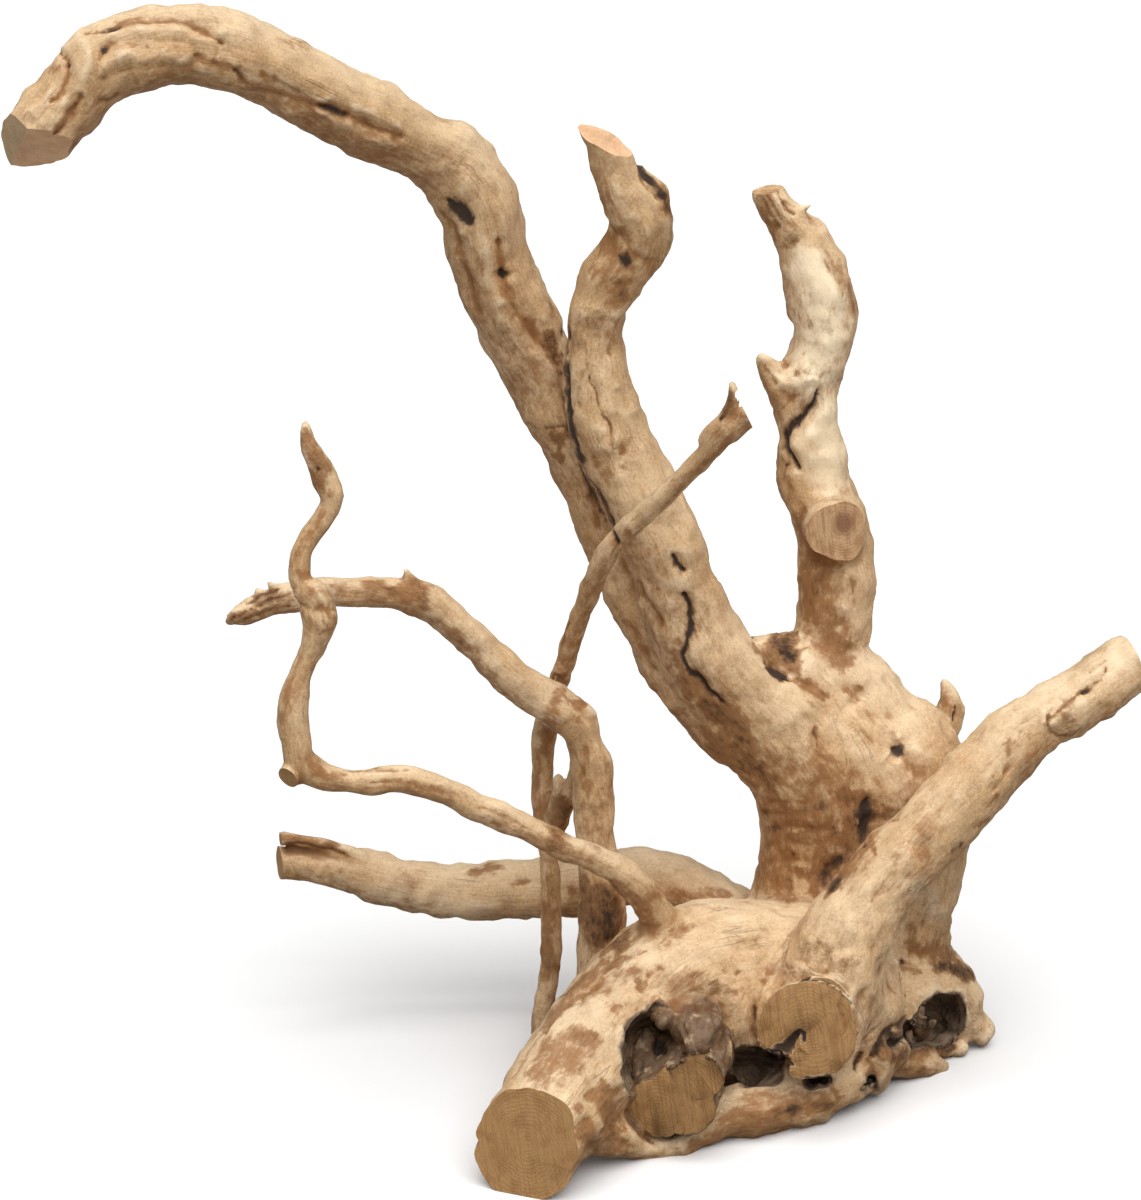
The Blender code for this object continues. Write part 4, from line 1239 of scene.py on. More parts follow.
marks("width push stain dark", [
    (4, -1.2, 0.98, 0.35, (112.5, 44.5)),
    (3.2, -3, 0, 1, (117.5, 60.3), (124, 59.3), (130.5, 61.5)),
    (4.2, -5, 1, 1, (97, 73), (103, 74.5), (108, 76), (111, 80), (113, 83)),
    # Painted shade in the middle hollow.
    (11, 0, 0, 0.5, (84, 71), (92, 68), (100, 66)),
    (1.5, -2.4, 0, 1, (111.5, 82.5), (114, 84.3), (116.6, 83), (117.7, 79)),
    (2, -2.4, 0, 1, (102, 69.5), (108, 69), (112.5, 66.4)),
    (3, -0.7, 1, 0.25, (68, 40), (90, 41), (108, 43.5), (122, 47)),
    (4.4, -0.8, 1, 0.5, (111, 45.5)),
    (1.8, -2.6, 0.9, 0.8, (146, 73), (143.5, 69), (142.3, 64)),
    (3.6, -2, 1, 0.35, (149, 70), (152.5, 65), (149.5, 60.5)),
    (2, -1.2, 0.9, 0.2, (160, 70), (166, 71), (173, 73)),
    (2.4, -3, 1, 0.75, (168, 92), (161, 86), (155, 78), (151, 71)),
    (4, 0, 1, 0.12, (160, 72), (168, 72.5), (176, 71)),
    (4.4, 0, 1, 0.34, (166, 66), (172, 65), (178, 65.5)),
    (3, 0, 1, 0.2, (161, 70), (164, 64)),
    (4.6, 0, 1, 0.34, (177, 78), (185, 77), (192, 76.5)),
    (3, -1.2, 1, 0.3, (134, 98), (137, 90), (135, 82)),
    (2.4, -0.6, 1, 0.3, (164, 66), (170, 66.5)),
    (3.6, 0, 1, 0.45, (178, 79), (186, 76), (194, 77)),
    (1.8, -1.6, 0.7, 0.2, (131, 58), (134, 48), (130, 41)),
    (7, 0, 0.85, 0.1, (160, 83), (170, 80), (180, 72)),
])
marks("width push stain rough", [
    (7, 0, 0.4, 0.6, (104, 116), (112, 112), (120, 114)),
    (9, 0, 0.5, 0.8, (92, 129)),
    (7, 0, 0.42, 0.9, (116, 126), (126, 125), (133, 127)),
    (6, -0.4, 0.5, 0.9, (129, 115), (137, 118), (144, 120)),
    (6, -0.4, 0.9, 1, (170, 128), (182, 124), (192, 120)),
])
marks("width push stain dark rough", [
    (3.4, -0.5, 1, 0.4, 1, (123, 46), (132, 49)),
    (6, -1, 1, 0.34, 1, (158, 80), (166, 80), (176, 79)),
    (7, 0, 1, 0.34, 1, (155, 77), (162, 74), (172, 75)),
    (4.6, -0.4, 1, 0.38, 1, (183, 116), (192, 117), (200, 112)),
    (4.6, -0.4, 1, 0.4, 1, (182, 118), (192, 115.5), (201, 110)),
])
mark([(91, 96), (92, 86), (94, 78)], 1.6, push=-2, lip=0.4, stain=0.8, dark=0.6)
mark([(167, 118.7)], 2.8, push=-2.6, lip=0.4, dark=0.95)
print(len(MARKS), "strokes")

# %% [markdown]
# ## The thin roots
#
# The thin roots are ringed with small scars. They are brown where they cross and underneath, where earth and
# painted shade meet, and their torn tips are split and dark. A painted light brightens the underside of the
# low branch.

# %% Strokes on the thin roots
marks("width push", [
    (3.6, 1, (4, 250), (8, 246)),
    (6, 1.9, (-127, 307), (-121, 300)),
    (7, 1.5, (-126, 289)),
    (6, 1.6, (20, 226)),
])
marks("width stain", [
    (2.6, 0.9, (-120, 352.5)),
    (3, 0.72, (-133, 292), (-130, 291)),
    (2.6, 0.55, (-134, 275), (-140, 258), (-141, 246)),
    (5, 0.85, (-121, 211), (-113, 212)),
    (3, 0.6, (-20, 183), (4, 174), (20, 166)),
    (6, 0.72, (26, 158), (34, 150), (42, 134)),
    (8, 0.6, (-134, 303), (-118, 302), (-104, 303), (-92, 303)),
    (9, 0.55, (8, 200), (12, 185), (16, 176)),
    (4, 0.8, (-12.5, 241), (-12.5, 222)),
    (3, 0.6, (-15, 200), (-14, 188)),
    (3, 0.8, (-8, 262)),
    (3, 0.7, (24, 330), (16, 316), (9, 300)),
    (3, 0.55, (-141, 256), (-143, 244), (-141, 234)),
    (3.2, 0.62, (-122, 345), (-129, 334), (-136, 322), (-137, 312)),
    (3, 0.62, (-96, 205), (-74, 204), (-56, 198)),
    (3.4, 0.6, (-40, 189), (-22, 183), (-4, 174)),
    (3.2, 0.62, (-66, 292), (-56, 282), (-44, 270)),
    (4, 0.5, (8, 226), (6, 214), (9, 203)),
    (3, 0.55, (18, 222), (19, 208), (19, 190)),
    (5, 0.72, (-11, 165), (-11, 140), (-12, 112)),
])
marks("width push stain", [
    (1.6, -0.6, 0.7, (-135, 334), (-131, 340)),
    (3.6, -0.2, 0.85, (-136, 312), (-130, 313)),
    (1.4, -0.7, 0.6, (-125, 290), (-121, 286), (-127, 283)),
    (3.8, -0.2, 0.9, (-131, 222), (-127, 215), (-121, 211)),
    (1.2, -0.8, 0.75, (-113, 215.5), (-98, 214.5), (-80, 215)),
    (1.3, -0.7, 0.7, (-100, 209), (-80, 208), (-62, 203)),
    (1.3, -0.7, 0.6, (-70, 207), (-45, 197), (-20, 186)),
    (1.4, -0.8, 0.5, (-1, 252), (3, 244), (-2, 238)),
    (2.2, -1.2, 0.6, (-133, 298), (-126, 294.5), (-118, 296)),
    (4.2, -0.2, 0.85, (27.5, 335), (31.5, 330)),
    (2.2, -0.2, 0.85, (57, 361), (63, 366), (68, 370)),
    (3, -0.4, 0.85, (-128, 297), (-122, 294), (-118, 288)),
])
marks("width push stain dark", [
    (1.8, -1, 0.9, 0.85, (-126.5, 365)),
    (1.5, -1.6, 1, 0.6, (-170, 290), (-160, 296), (-148, 301), (-140, 304)),
    (1.3, -1.4, 0.9, 0.5, (-166, 289), (-154, 293.5), (-140, 298)),
    (1.4, -1.4, 1, 0.65, (-163, 298), (-154, 302), (-146, 305.5)),
    (14, 0, 1, 0.42, (7, 160), (11, 146), (16, 126)),
    (12, 0, 1, 0.42, (20, 158), (22, 144), (24, 126)),
    (3.4, -0.6, 1, 0.1, (6, 251), (4, 244)),
    (1.7, -0.9, 0.9, 0.55, (-1, 291), (-3, 283), (-4.5, 277)),
    (1.8, -1.4, 0, 1, (75, 391)),
    (2.2, -0.4, 0.9, 0.15, (84, 385), (74, 374), (62, 362), (50, 351)),
    (4, 0, 0.85, 0.15, (-3, 262), (-8, 246), (-11, 230)),
    (3, 0, 0.75, 0.1, (-16, 222), (-17, 206), (-16, 190)),
    (3.4, 0, 0.85, 0.1, (-14, 150), (-12, 130), (-14, 110)),
    (2.6, -0.5, 1, 0.2, (-60, 286), (-55, 280), (-51, 275)),
    (4, 0, 0.95, 0.1, (-9, 116)),
])
marks("width push stain rough", [
    (6, 0, 0.85, 1, (-171, 290), (-165, 292), (-158, 297)),
    (7, 0, 0.55, 0.8, (-162, 292), (-150, 297), (-138, 302)),
    (4, -0.3, 1, 0.6, (-102, 308), (-92, 306), (-86, 303)),
    (5, 0, 0.6, 0.5, (72, 380), (80, 388), (88, 394)),
    (6, 0.2, 0.8, 1, (-5, 203), (-7, 190), (-9, 178)),
])
marks("width push stain dark rough", [
    (7, -0.2, 0.95, 0.12, 0.6, (-132, 385), (-128, 368), (-126, 352)),
    (8, 0.5, 1, 0.1, 0.9, (-88, 306), (-80, 306), (-73, 299)),
    (5, 0, 1, 0.28, 1, (-1, 199), (-4, 190), (-8, 177)),
    (3.4, -0.9, 1, 0.5, 1, (80.5, 406), (79, 398), (75, 390)),
])
marks("width push pale", [
    (4, 2.4, 0.4, (10, 249), (13, 243)),
    (8, 0, 0.32, (-72, 293), (-52, 277), (-32, 258), (-8, 238)),
    # A painted light on the underside of the low branch.
    (8, 0, 0.38, (-132, 160), (-100, 151), (-70, 147), (-36, 147)),
])
spots([(-58, 284, 3), (-54, 280, 2.6), (-40, 266, 2.4), (-2.5, 250, 2.6), (2.5, 249.5, 2.4), (5, 231, 2.6),
       (7.5, 225, 2.6), (5, 213, 3), (9, 207, 3), (4, 240, 2.4)], push=-0.25, stain=0.85)
print(len(MARKS), "strokes")

# %% [markdown]
# ## The low branch
#
# A split runs under the stub, and the upper side is lightly stained.

# %% Strokes on the low branch
marks("width push stain", [
    (1.3, -0.9, 0.6, (-142, 176), (-126, 175.5), (-110, 172)),
    (2, -1, 0.85, (-31, 158.5), (-20, 160.5)),
    (1.9, 0, 0.8, (-115, 165)),
    (5, 0, 0.78, (36, 155), (58, 152), (80, 152)),
])
mark([(-145, 181.5), (-141, 181)], 2.6, push=-0.8, stain=1, dark=0.4)
mark([(-143, 177), (-130, 176.2), (-112, 173)], 1.2, push=-1.6, stain=1, dark=0.5)
mark([(-144, 181), (-132, 180), (-118, 177)], 5, stain=0.95, rough=0.4)
mark([(-52, 163), (-44, 165), (-35, 166)], 4, push=-0.3, stain=0.92, rough=0.7)
print(len(MARKS), "strokes")

# %% [markdown]
# ## Whose wood is it
#
# With the skin melted, every point asks once more which limb it belongs to and where it lies in that limb's
# grain. Two kinds of grain place are kept: one that runs on from limb to limb, for the streaks, and one
# that is measured from the limb's own pith, for the rings on the sawn faces.


# %% Survey the melted skin
def evened(values, rounds):
    """The skin's values after some rounds in which each point takes the mean of its neighbours."""
    columns = values.reshape(len(values), -1)
    for _ in range(rounds):
        columns = neighbour_mean(skin_edges, columns)
    return columns.reshape(values.shape)


def of_limb(name):
    return owner == LIMB_NAMES.index(name)


_, owner, grain, hollow_distance = survey(read_points(skin))
grain_shifts = np.array([line["grain_shift"] for line in limb_lines.values()])
own_grain = grain - grain_shifts[owner]
grain = soothed(skin, owner, grain)
skin_edges = read_edges(skin)
mean_radius = np.array([line["radius"].mean() for line in limb_lines.values()])
thickness = evened(mean_radius[owner], SEAM_ROUNDS)
print("limbs that own skin:", len(np.unique(owner)))

# %% [markdown]
# ## Flat faces on the sawn stubs
#
# Two sawn stubs sit so deep between the folds that a saw plane would cut their neighbours too. Their tips
# are pressed flat instead: points of the stub that are near the tip plane and face outward move onto the
# plane. The stub on the upright limb is pressed too, although it is sawn later, so that its parts share one
# set of rings.

# %% Press the stubs flat
PRESS_REACH = 5.0
PRESS_FACING = 0.35
PRESS_EDGE = 0.35
ROT_ROUNDS = 3
STUB_FACES = {
    "heart_stub": ["heart_stub"],
    "rotten_stub": ["rotten_stub", "rotten_stub_low", "rotten_stub_middle", "rotten_stub_side"],
    "upright_stub": ["upright_stub", "upright_stub_side", "upright_stub_low"],
}

cut_share = np.zeros(len(owner))
rotten_share = np.zeros(len(owner))
places = read_points(skin)
normals = read_normals(skin)
for name, members in STUB_FACES.items():
    line = limb_lines[name]
    outward = -line["ahead"][0]
    height = (places - line["place"][0]) @ outward
    facing = normals @ outward
    wood = np.any([of_limb(member) for member in members], axis=0)
    away = places[wood] - line["place"][0]
    own_grain[wood] = np.column_stack([away @ line[key][0] for key in ("side", "over", "ahead")])
    pressed = wood & (np.abs(height) < PRESS_REACH) & (facing > PRESS_FACING)
    places[pressed] -= np.outer(height[pressed], outward)
    cut_share[pressed] = np.clip((facing[pressed] - PRESS_FACING) / PRESS_EDGE, 0.0, 1.0)
    print(name, int(pressed.sum()), "points pressed flat")
for name in pocket_limbs:
    rotten_share[of_limb(name)] = 1.0
rotten_share = evened(rotten_share, ROT_ROUNDS)
move_points(skin, places)

# %% [markdown]
# ## What the eye sees
#
# A stroke may only touch wood that is open to the eye. The drawing is split into small squares, each square
# remembers its nearest point, and a point counts as seen when it is close to that depth and faces the eye.

# %% Seen points
SIGHT_SQUARE = 2.0
SIGHT_DEPTH = 7.0
FULL_FACING = 0.28
SIGHT_ROUNDS = 6


def seen_share(places, normals):
    """Right and up in the drawing, and how fully the eye sees each point, from 0 to 1."""
    right, up, depth = drawn(places)
    column = np.floor((right - right.min()) / SIGHT_SQUARE).astype(int)
    row = np.floor((up - up.min()) / SIGHT_SQUARE).astype(int)
    square = row * (column.max() + 1) + column
    nearest = np.full(square.max() + 1, np.inf)
    np.minimum.at(nearest, square, depth)
    open_to_eye = depth < nearest[square] + SIGHT_DEPTH
    return right, up, np.clip(-(normals @ LOOKING) / FULL_FACING, 0.0, 1.0) * open_to_eye


right, up, seen = seen_share(places, normals)
seen = evened(seen, SIGHT_ROUNDS)
print(round(float((seen > 0).mean()), 3), "of the points are seen")

# %% [markdown]
# ## Press the strokes into the skin
#
# Each stroke is tapered at its ends and its line wobbles a little, because nothing on a root is ruled. The
# push has a round bottom and a soft lip, while colour has a ragged edge, so that stains look soaked in.


# %% Distance from a stroke
def along_stroke(points, right, up):
    """Distance from a stroke's line, and how far along it that is, from 0 to 1."""
    if len(points) == 1:
        return np.hypot(right - points[0, 0], up - points[0, 1]), np.full(len(right), 0.5)
    runs = np.diff(points, axis=0)
    lengths = np.linalg.norm(runs, axis=1)
    starts = np.concatenate([[0.0], np.cumsum(lengths)])
    best = np.full(len(right), np.inf)
    share = np.zeros(len(right))
    for i, (run, length) in enumerate(zip(runs, lengths)):
        to_right, to_up = right - points[i, 0], up - points[i, 1]
        t = np.clip((to_right * run[0] + to_up * run[1]) / length**2, 0.0, 1.0)
        gap = np.hypot(to_right - t * run[0], to_up - t * run[1])
        closer = gap < best
        best[closer] = gap[closer]
        share[closer] = ((starts[i] + t * length) / starts[-1])[closer]
    return best, share

# %% Work out every stroke
STROKE_REACH = 3.4
REACH_MARGIN = 3.0
TIP_WIDTH = 0.35
TAPER = 0.4
PUSH_SHARE = 0.85
BOWL_SHARE = 0.6
BOWL_WIDTH = 1.5
VEE_SLOPE = 1.8
LIP_SHARE = 0.4
LIP_PLACE = 2.4
LIP_WIDTH = 1.2
UNEVEN_SIZE = 9.0
UNEVEN_SHARE = 0.45
SOAK_REACH = 1.15
SOAK_SLOPE = 1.2
RAGGED_EDGE = {"dark": 0.4, "stain": 0.9, "rough": 0.9, "pale": 0.8}
WOBBLE = ((8.0, 0.9), (3.0, 0.5))
RAGGED = ((4.0, 0.6), (1.8, 0.4))

push = np.zeros(len(places))
clear = {name: np.ones(len(places)) for name in RAGGED_EDGE}
wavy_right = right + mixed_waves(places, WOBBLE, 21)
wavy_up = up + mixed_waves(places, WOBBLE, 31)
ragged = mixed_waves(places, RAGGED, 41)
uneven = 1.0 + UNEVEN_SHARE * wavy(places, UNEVEN_SIZE, 45)
for stroke in MARKS:
    reach = stroke["width"] * STROKE_REACH + REACH_MARGIN
    low, high = stroke["points"].min(0) - reach, stroke["points"].max(0) + reach
    inside = (right > low[0]) & (right < high[0]) & (up > low[1]) & (up < high[1]) & (seen > 0)
    near = np.flatnonzero(inside)
    gap, share = along_stroke(stroke["points"], wavy_right[near], wavy_up[near])
    width = stroke["width"] * (TIP_WIDTH + (1 - TIP_WIDTH) * (4 * share * (1 - share)) ** TAPER)
    bowl = np.exp(-((gap / (BOWL_WIDTH * width)) ** 2))
    vee = np.exp(-VEE_SLOPE * gap / width)
    lip = np.exp(-(((gap - LIP_PLACE * width) / (LIP_WIDTH * width)) ** 2))
    sunk = PUSH_SHARE * stroke["push"] * (BOWL_SHARE * bowl + (1 - BOWL_SHARE) * vee)
    push[near] += seen[near] * uneven[near] * (sunk + LIP_SHARE * stroke["lip"] * lip)
    for name, left in clear.items():
        soaked = (SOAK_REACH - gap / width + RAGGED_EDGE[name] * ragged[near]) * SOAK_SLOPE
        left[near] *= 1.0 - stroke[name] * np.clip(soaked, 0.0, 1.0) * np.sqrt(seen[near])
dark, stain, rough, pale = (1.0 - left for left in clear.values())
cut_share = cut_share * (1.0 - np.clip(2.0 * dark, 0.0, 1.0))
print("deepest stroke", np.round(push.min(), 1), "mm, stained share", np.round((stain > 0.4).mean(), 3))

# %% [markdown]
# ## The sides that the drawing doesn't show
#
# The back of the root is finished too. Knots, cracks and pits are strewn there by a seeded random draw.
# They follow the grain, because distance is measured in grain places: short across the limb and long along
# it.

# %% Strew marks on the hidden sides
HIDDEN_MARKS = 150
HIDDEN_KINDS = ("crack", "crack", "knot", "stain")
HIDDEN_REACH = 26.0
LEAST_RADIUS = 6.0
LEAST_HEIGHT = 6.0
FULL_RADIUS = 18.0
MOST_SIZE = 1.2
DEPTHS = (0.8, 2.2)
BREADTHS = (1.1, 2.6)
LENGTHS = (7, 24)
SWAY = 1.4
SWAY_SIZE = (9, 9, 12)
KNOT_STRETCH = 0.7
KNOT_BREADTH = 2.2


def raise_to(layer, near, values):
    layer[near] = np.maximum(layer[near], values)


draw = np.random.default_rng(24)
hidden = np.flatnonzero((seen <= 0) & (thickness > LEAST_RADIUS) & (places[:, 2] > LEAST_HEIGHT))
for pick in draw.choice(hidden, HIDDEN_MARKS, replace=False):
    size = min(thickness[pick] / FULL_RADIUS, MOST_SIZE)
    kind = HIDDEN_KINDS[draw.integers(0, len(HIDDEN_KINDS))]
    depth = draw.uniform(*DEPTHS) * size
    breadth = draw.uniform(*BREADTHS)
    length = draw.uniform(*LENGTHS) * size
    near = np.flatnonzero((np.abs(places - places[pick]) < HIDDEN_REACH).all(1) & (seen <= 0.2))
    apart = grain[near] - grain[pick]
    across = np.hypot(apart[:, 0] + SWAY * wavy(grain[near], SWAY_SIZE, 51), apart[:, 1])
    line_gap = np.hypot(across / breadth, apart[:, 2] / length)
    spot_gap = np.hypot(across, apart[:, 2] * KNOT_STRETCH) / (breadth * KNOT_BREADTH)
    if kind == "crack":
        push[near] -= depth * np.exp(-1.5 * line_gap**2)
        raise_to(dark, near, 0.5 * depth / DEPTHS[1] * np.exp(-2.0 * line_gap**2))
        raise_to(stain, near, 0.85 * np.exp(-(line_gap**2)))
    elif kind == "knot":
        push[near] += depth * (0.7 * np.exp(-5.0 * (spot_gap - 1.1) ** 2) - 1.4 * np.exp(-3.0 * spot_gap**2))
        raise_to(dark, near, 0.85 * np.exp(-3.5 * spot_gap**2))
        raise_to(stain, near, 0.8 * np.exp(-0.8 * spot_gap**2))
    else:
        soaked = np.clip((1.2 - spot_gap + 0.6 * ragged[near]) * 1.6, 0.0, 1.0)
        raise_to(stain, near, soaked * draw.uniform(0.5, 0.95))
        raise_to(rough, near, soaked * draw.uniform(0.0, 0.9))
print(HIDDEN_MARKS, "marks strewn on the hidden sides")

# %% [markdown]
# ## Flutes, swellings and rotten pockets
#
# Sandblasting takes the soft wood away and leaves long flutes along the grain. Broad swellings keep the
# limbs from looking turned on a lathe. In the pockets and on rough patches the wood has rotted into short
# fibres.

# %% Heights of the whole surface
FLUTES = (((12, 12, 70), 0.50), ((5, 5, 28), 0.20), ((2.6, 2.6, 16), 0.08), ((17, 17, 7), 0.36))
SWELLS = ((38, 0.9), (17, 1.10), (9, 0.95), (5, 0.48), (2.8, 0.18))
FOLDS = (16, 16, 48)
FOLD_DEPTH = 0.9
FOLD_HALF_WIDTH = 0.16
CRAG_SIZE = 6.5
CRAG_HEIGHT = 2.2
ROTTEN_FIBRES = (((3.4, 3.4, 13), 0.8), ((1.9, 1.9, 6), 0.5))
HOLLOW_EDGE = 2.4

limb_size = np.clip(0.50 + thickness / 20.0, 0.75, 1.25)
smooth_share = 1.0 - np.maximum(cut_share, 0.0)
fold_line = np.abs(wavy(grain, FOLDS, 95) + 0.2 * wavy(places, 7, 96))
fold_zone = np.clip(2.0 * wavy(places, 34, 97), 0.0, 1.0)
heights = mixed_waves(grain, FLUTES, 60) + mixed_waves(places, SWELLS, 70)
heights -= FOLD_DEPTH * fold_zone * np.exp(-fold_line / FOLD_HALF_WIDTH)
hollow_share = np.clip(1.0 - (hollow_distance + 0.8 * ragged) / HOLLOW_EDGE, 0.0, 1.0)
rotten = np.clip(rough * 0.75 + hollow_share * 1.1 + rotten_share * 0.6, 0.0, 1.2)
fibres = mixed_waves(grain, ROTTEN_FIBRES, 80)
crags = CRAG_HEIGHT * (np.abs(wavy(places, CRAG_SIZE, 98)) ** 0.6 - 0.55) * rotten_share
push = (push + heights * limb_size + fibres * rotten + crags) * smooth_share
print("surface heights from", round(float(push.min()), 1), "to", round(float(push.max()), 1), "mm")

# %% Broad stains, painted shade underneath, painted highlight on top, and the move itself
UNDERSIDE_EARTH_AND_SHADE = 0.62
THIN_ROOT_STAIN = 0.22
THIN_ROOT_RADIUS = 9.5
BLEACH_AND_HIGHLIGHT = 0.45

# Faces that look down turn brown: partly earth, partly painted shade.
under = np.clip(0.36 - 0.75 * normals[:, 2] + 0.5 * wavy(places, 22, 91), 0.0, 1.0)
# Faces that look up turn paler: partly whitened by the sun, partly painted highlight.
bleach_and_highlight = np.clip(1.05 * normals[:, 2] - 0.25 + 0.4 * wavy(places, 26, 92), 0.0, 1.0)
thin_share = np.clip((THIN_ROOT_RADIUS - thickness) / 4.0, 0.0, 1.0)
broad_stain_and_shade = np.maximum(UNDERSIDE_EARTH_AND_SHADE * under, THIN_ROOT_STAIN * thin_share)
stain = np.maximum(stain, broad_stain_and_shade * smooth_share)
pale = np.maximum(pale, BLEACH_AND_HIGHLIGHT * bleach_and_highlight) * smooth_share
places = places + read_normals(skin) * push[:, None]
move_points(skin, places)
print("stained share", np.round((stain > 0.4).mean(), 3), "bleach_and_highlight", np.round((pale > 0.2).mean(), 3))

# %% [markdown]
# ## Dirt and painted shade in the low places, a painted highlight on the ridges
#
# Dust and old bark stay where blasting doesn't reach, and the material paints shade into the valleys and a
# highlight onto the ridges. Comparing each point with the mean of its neighbourhood tells ridges from
# valleys: a valley lies below its neighbours, and gets a positive number.

# %% Valleys and ridges
FINE_ROUNDS = 4
BROAD_ROUNDS = 40
FINE_SHARE = 3.0
USUAL_RIDGE = 0.5


def valley_depth(rounds):
    return ((evened(places, rounds) - places) * normals).sum(1)


normals = read_normals(skin)
valley = FINE_SHARE * valley_depth(FINE_ROUNDS) + valley_depth(BROAD_ROUNDS)
usual = np.zeros(len(places))
for number in range(len(LIMB_NAMES)):
    wood = owner == number
    if wood.any():
        usual[wood] = np.median(valley[wood])
valley = valley - evened(usual, SEAM_ROUNDS) - USUAL_RIDGE
print("valleys", np.round(np.percentile(valley, [5, 50, 95]), 2), "mm")

# %% [markdown]
# ## Hand the numbers to the material
#
# The material has to know what the sculpting knew. A mesh attribute stores a number or a vector at each
# point, and the shader reads it by name. They are written before the mesh is thinned out, which blends them
# for us.

# %% Write the attributes
NUMBERS = {
    "dark": dark, "stain": stain, "rough": rough, "pale": pale,
    "hollow": hollow_share, "valley": valley, "cut": cut_share, "rotten": rotten_share,
}
VECTORS = {"grain": grain, "own_grain": own_grain}

for name, values in NUMBERS.items():
    layer = skin.attributes.new(name, "FLOAT", "POINT")
    layer.data.foreach_set("value", values.astype(np.float32))
for name, values in VECTORS.items():
    layer = skin.attributes.new(name, "FLOAT_VECTOR", "POINT")
    layer.data.foreach_set("vector", values.astype(np.float32).ravel())
print("attributes:", *NUMBERS, *VECTORS)

# %% [markdown]
# ## Thin the mesh out
#
# Sculpting wanted evenly small faces. The Decimate modifier now takes points away where the surface is
# plain and keeps them in the cracks, which brings the mesh down to a size that other programs can use.

# %% Thin out
MOST_TRIANGLES = 190000

root = mesh_object("driftwood_root", skin)
thin = root.modifiers.new("thin out", "DECIMATE")
thin.ratio = MOST_TRIANGLES / (2 * len(skin.polygons))
light_skin = worked_out(root)
light_skin.materials.clear()
print("thinned to", len(light_skin.polygons), "faces")

# %% [markdown]
# ## Saw the ends
#
# A saw cut is a plane. Bmesh cuts the faces near the end, throws away what lies beyond, and fills the rim
# with flat faces that carry their own finish. The rim stays sharp. The floor cuts the underside in the same
# way.

# %% Saw cuts
FINISHES = ["weathered_wood", "sawn_wood", "sawn_orange", "sawn_grey", "sawn_heart"]


def saw(shape, middle, outward, reach, finish):
    """Cuts off what lies beyond a plane near its middle, and closes the cut."""
    middle = Vector(middle) * MM
    outward = Vector(outward).normalized()
    near = [face for face in shape.faces if (face.calc_center_median() - middle).length < reach * MM]
    points = list({point for face in near for point in face.verts})
    edges = list({edge for face in near for edge in face.edges})
    cut = bmesh.ops.bisect_plane(
        shape, geom=points + edges + near, plane_co=middle, plane_no=outward, clear_outer=True
    )
    rim = [item for item in cut["geom_cut"] if isinstance(item, bmesh.types.BMEdge) and item.is_valid]
    rim = [edge for edge in rim if edge.is_boundary]
    filled = bmesh.ops.triangle_fill(shape, edges=rim, use_beauty=True, normal=outward)
    faces = [item for item in filled["geom"] if isinstance(item, bmesh.types.BMFace)]
    for face in faces:
        face.material_index = FINISHES.index(finish)
        face.normal_update()
        if face.normal.dot(outward) < 0:
            face.normal_flip()
    for edge in rim:
        edge.smooth = False
    return len(faces)


SAW_CUTS = [
    ("foot", (-20, 28.5, 4), (-0.36, -0.92, 0.13), 62, "sawn_wood"),
    ("upright stub", (132.5, 333.5, 163), (0.30, -0.94, -0.02), 22, "sawn_heart"),
    ("front limb", (17, 529.5, 138), (0.42, -0.30, 0.86), 28, "sawn_orange"),
    ("upright tip", (97.5, 505, 214), (-0.18, -0.10, 0.97), 18, "weathered_wood"),
    ("long limb, left", (-274.5, 528, 97), (-0.72, -0.61, -0.33), 42, "sawn_grey"),
    ("long limb, under", (-274.5, 528.5, 97), (-0.05, -0.66, -0.75), 46, "sawn_orange"),
    ("crossing root", (88.5, 391.5, 56), (0.88, 0.08, 0.44), 9, "sawn_grey"),
    ("right branch", (280, 269.5, 163), (0.90, 0.30, 0.30), 38, "sawn_wood"),
    ("low branch", (-145.5, 168, 188), (-0.93, -0.30, 0.0), 26, "sawn_wood"),
    ("front root stub", (-141.3, 211.7, 38), (-0.50, -0.75, -0.43), 8, "sawn_wood"),
]
FLOOR_REACH = 1000.0

shape = bmesh.new()
shape.from_mesh(light_skin)
bmesh.ops.triangulate(shape, faces=shape.faces)
for name, middle, outward, reach, finish in SAW_CUTS:
    place = placed([(*middle, 1.0)])[0][0]
    print("sawed", name, "with", saw(shape, place, outward, reach, finish), "faces")
print("floor cut", saw(shape, (0, 0, 0), (0, 0, -1), FLOOR_REACH, "weathered_wood"), "faces")

# %% [markdown]
# ## Keep one clean body
#
# Cutting can leave crumbs. The biggest connected body is kept, and the open edges are counted.

# %% One clean body


def biggest_body(shape):
    """All points of the biggest connected body."""
    left = set(shape.verts)
    biggest = set()
    while left:
        start = left.pop()
        body, edge_of_body = {start}, [start]
        while edge_of_body:
            point = edge_of_body.pop()
            for edge in point.link_edges:
                other = edge.other_vert(point)
                if other in left:
                    left.discard(other)
                    body.add(other)
                    edge_of_body.append(other)
        if len(body) > len(biggest):
            biggest = body
    return biggest


kept = biggest_body(shape)
bmesh.ops.delete(shape, geom=[point for point in shape.verts if point not in kept], context="VERTS")
bmesh.ops.dissolve_degenerate(shape, dist=1e-6, edges=shape.edges)
bmesh.ops.triangulate(shape, faces=shape.faces)
open_edges = sum(1 for edge in shape.edges if not edge.is_manifold)
for face in shape.faces:
    face.smooth = True
shape.to_mesh(light_skin)
shape.free()
root = mesh_object("driftwood_root", light_skin)
print("open edges:", open_edges, "faces:", len(light_skin.polygons))

# %% [markdown]
# ## Small helpers for wiring nodes
#
# A procedural material is a net of nodes. These helpers add a node and fill its inputs with numbers or with
# the outputs of other nodes, so that each finish below reads as a short recipe.


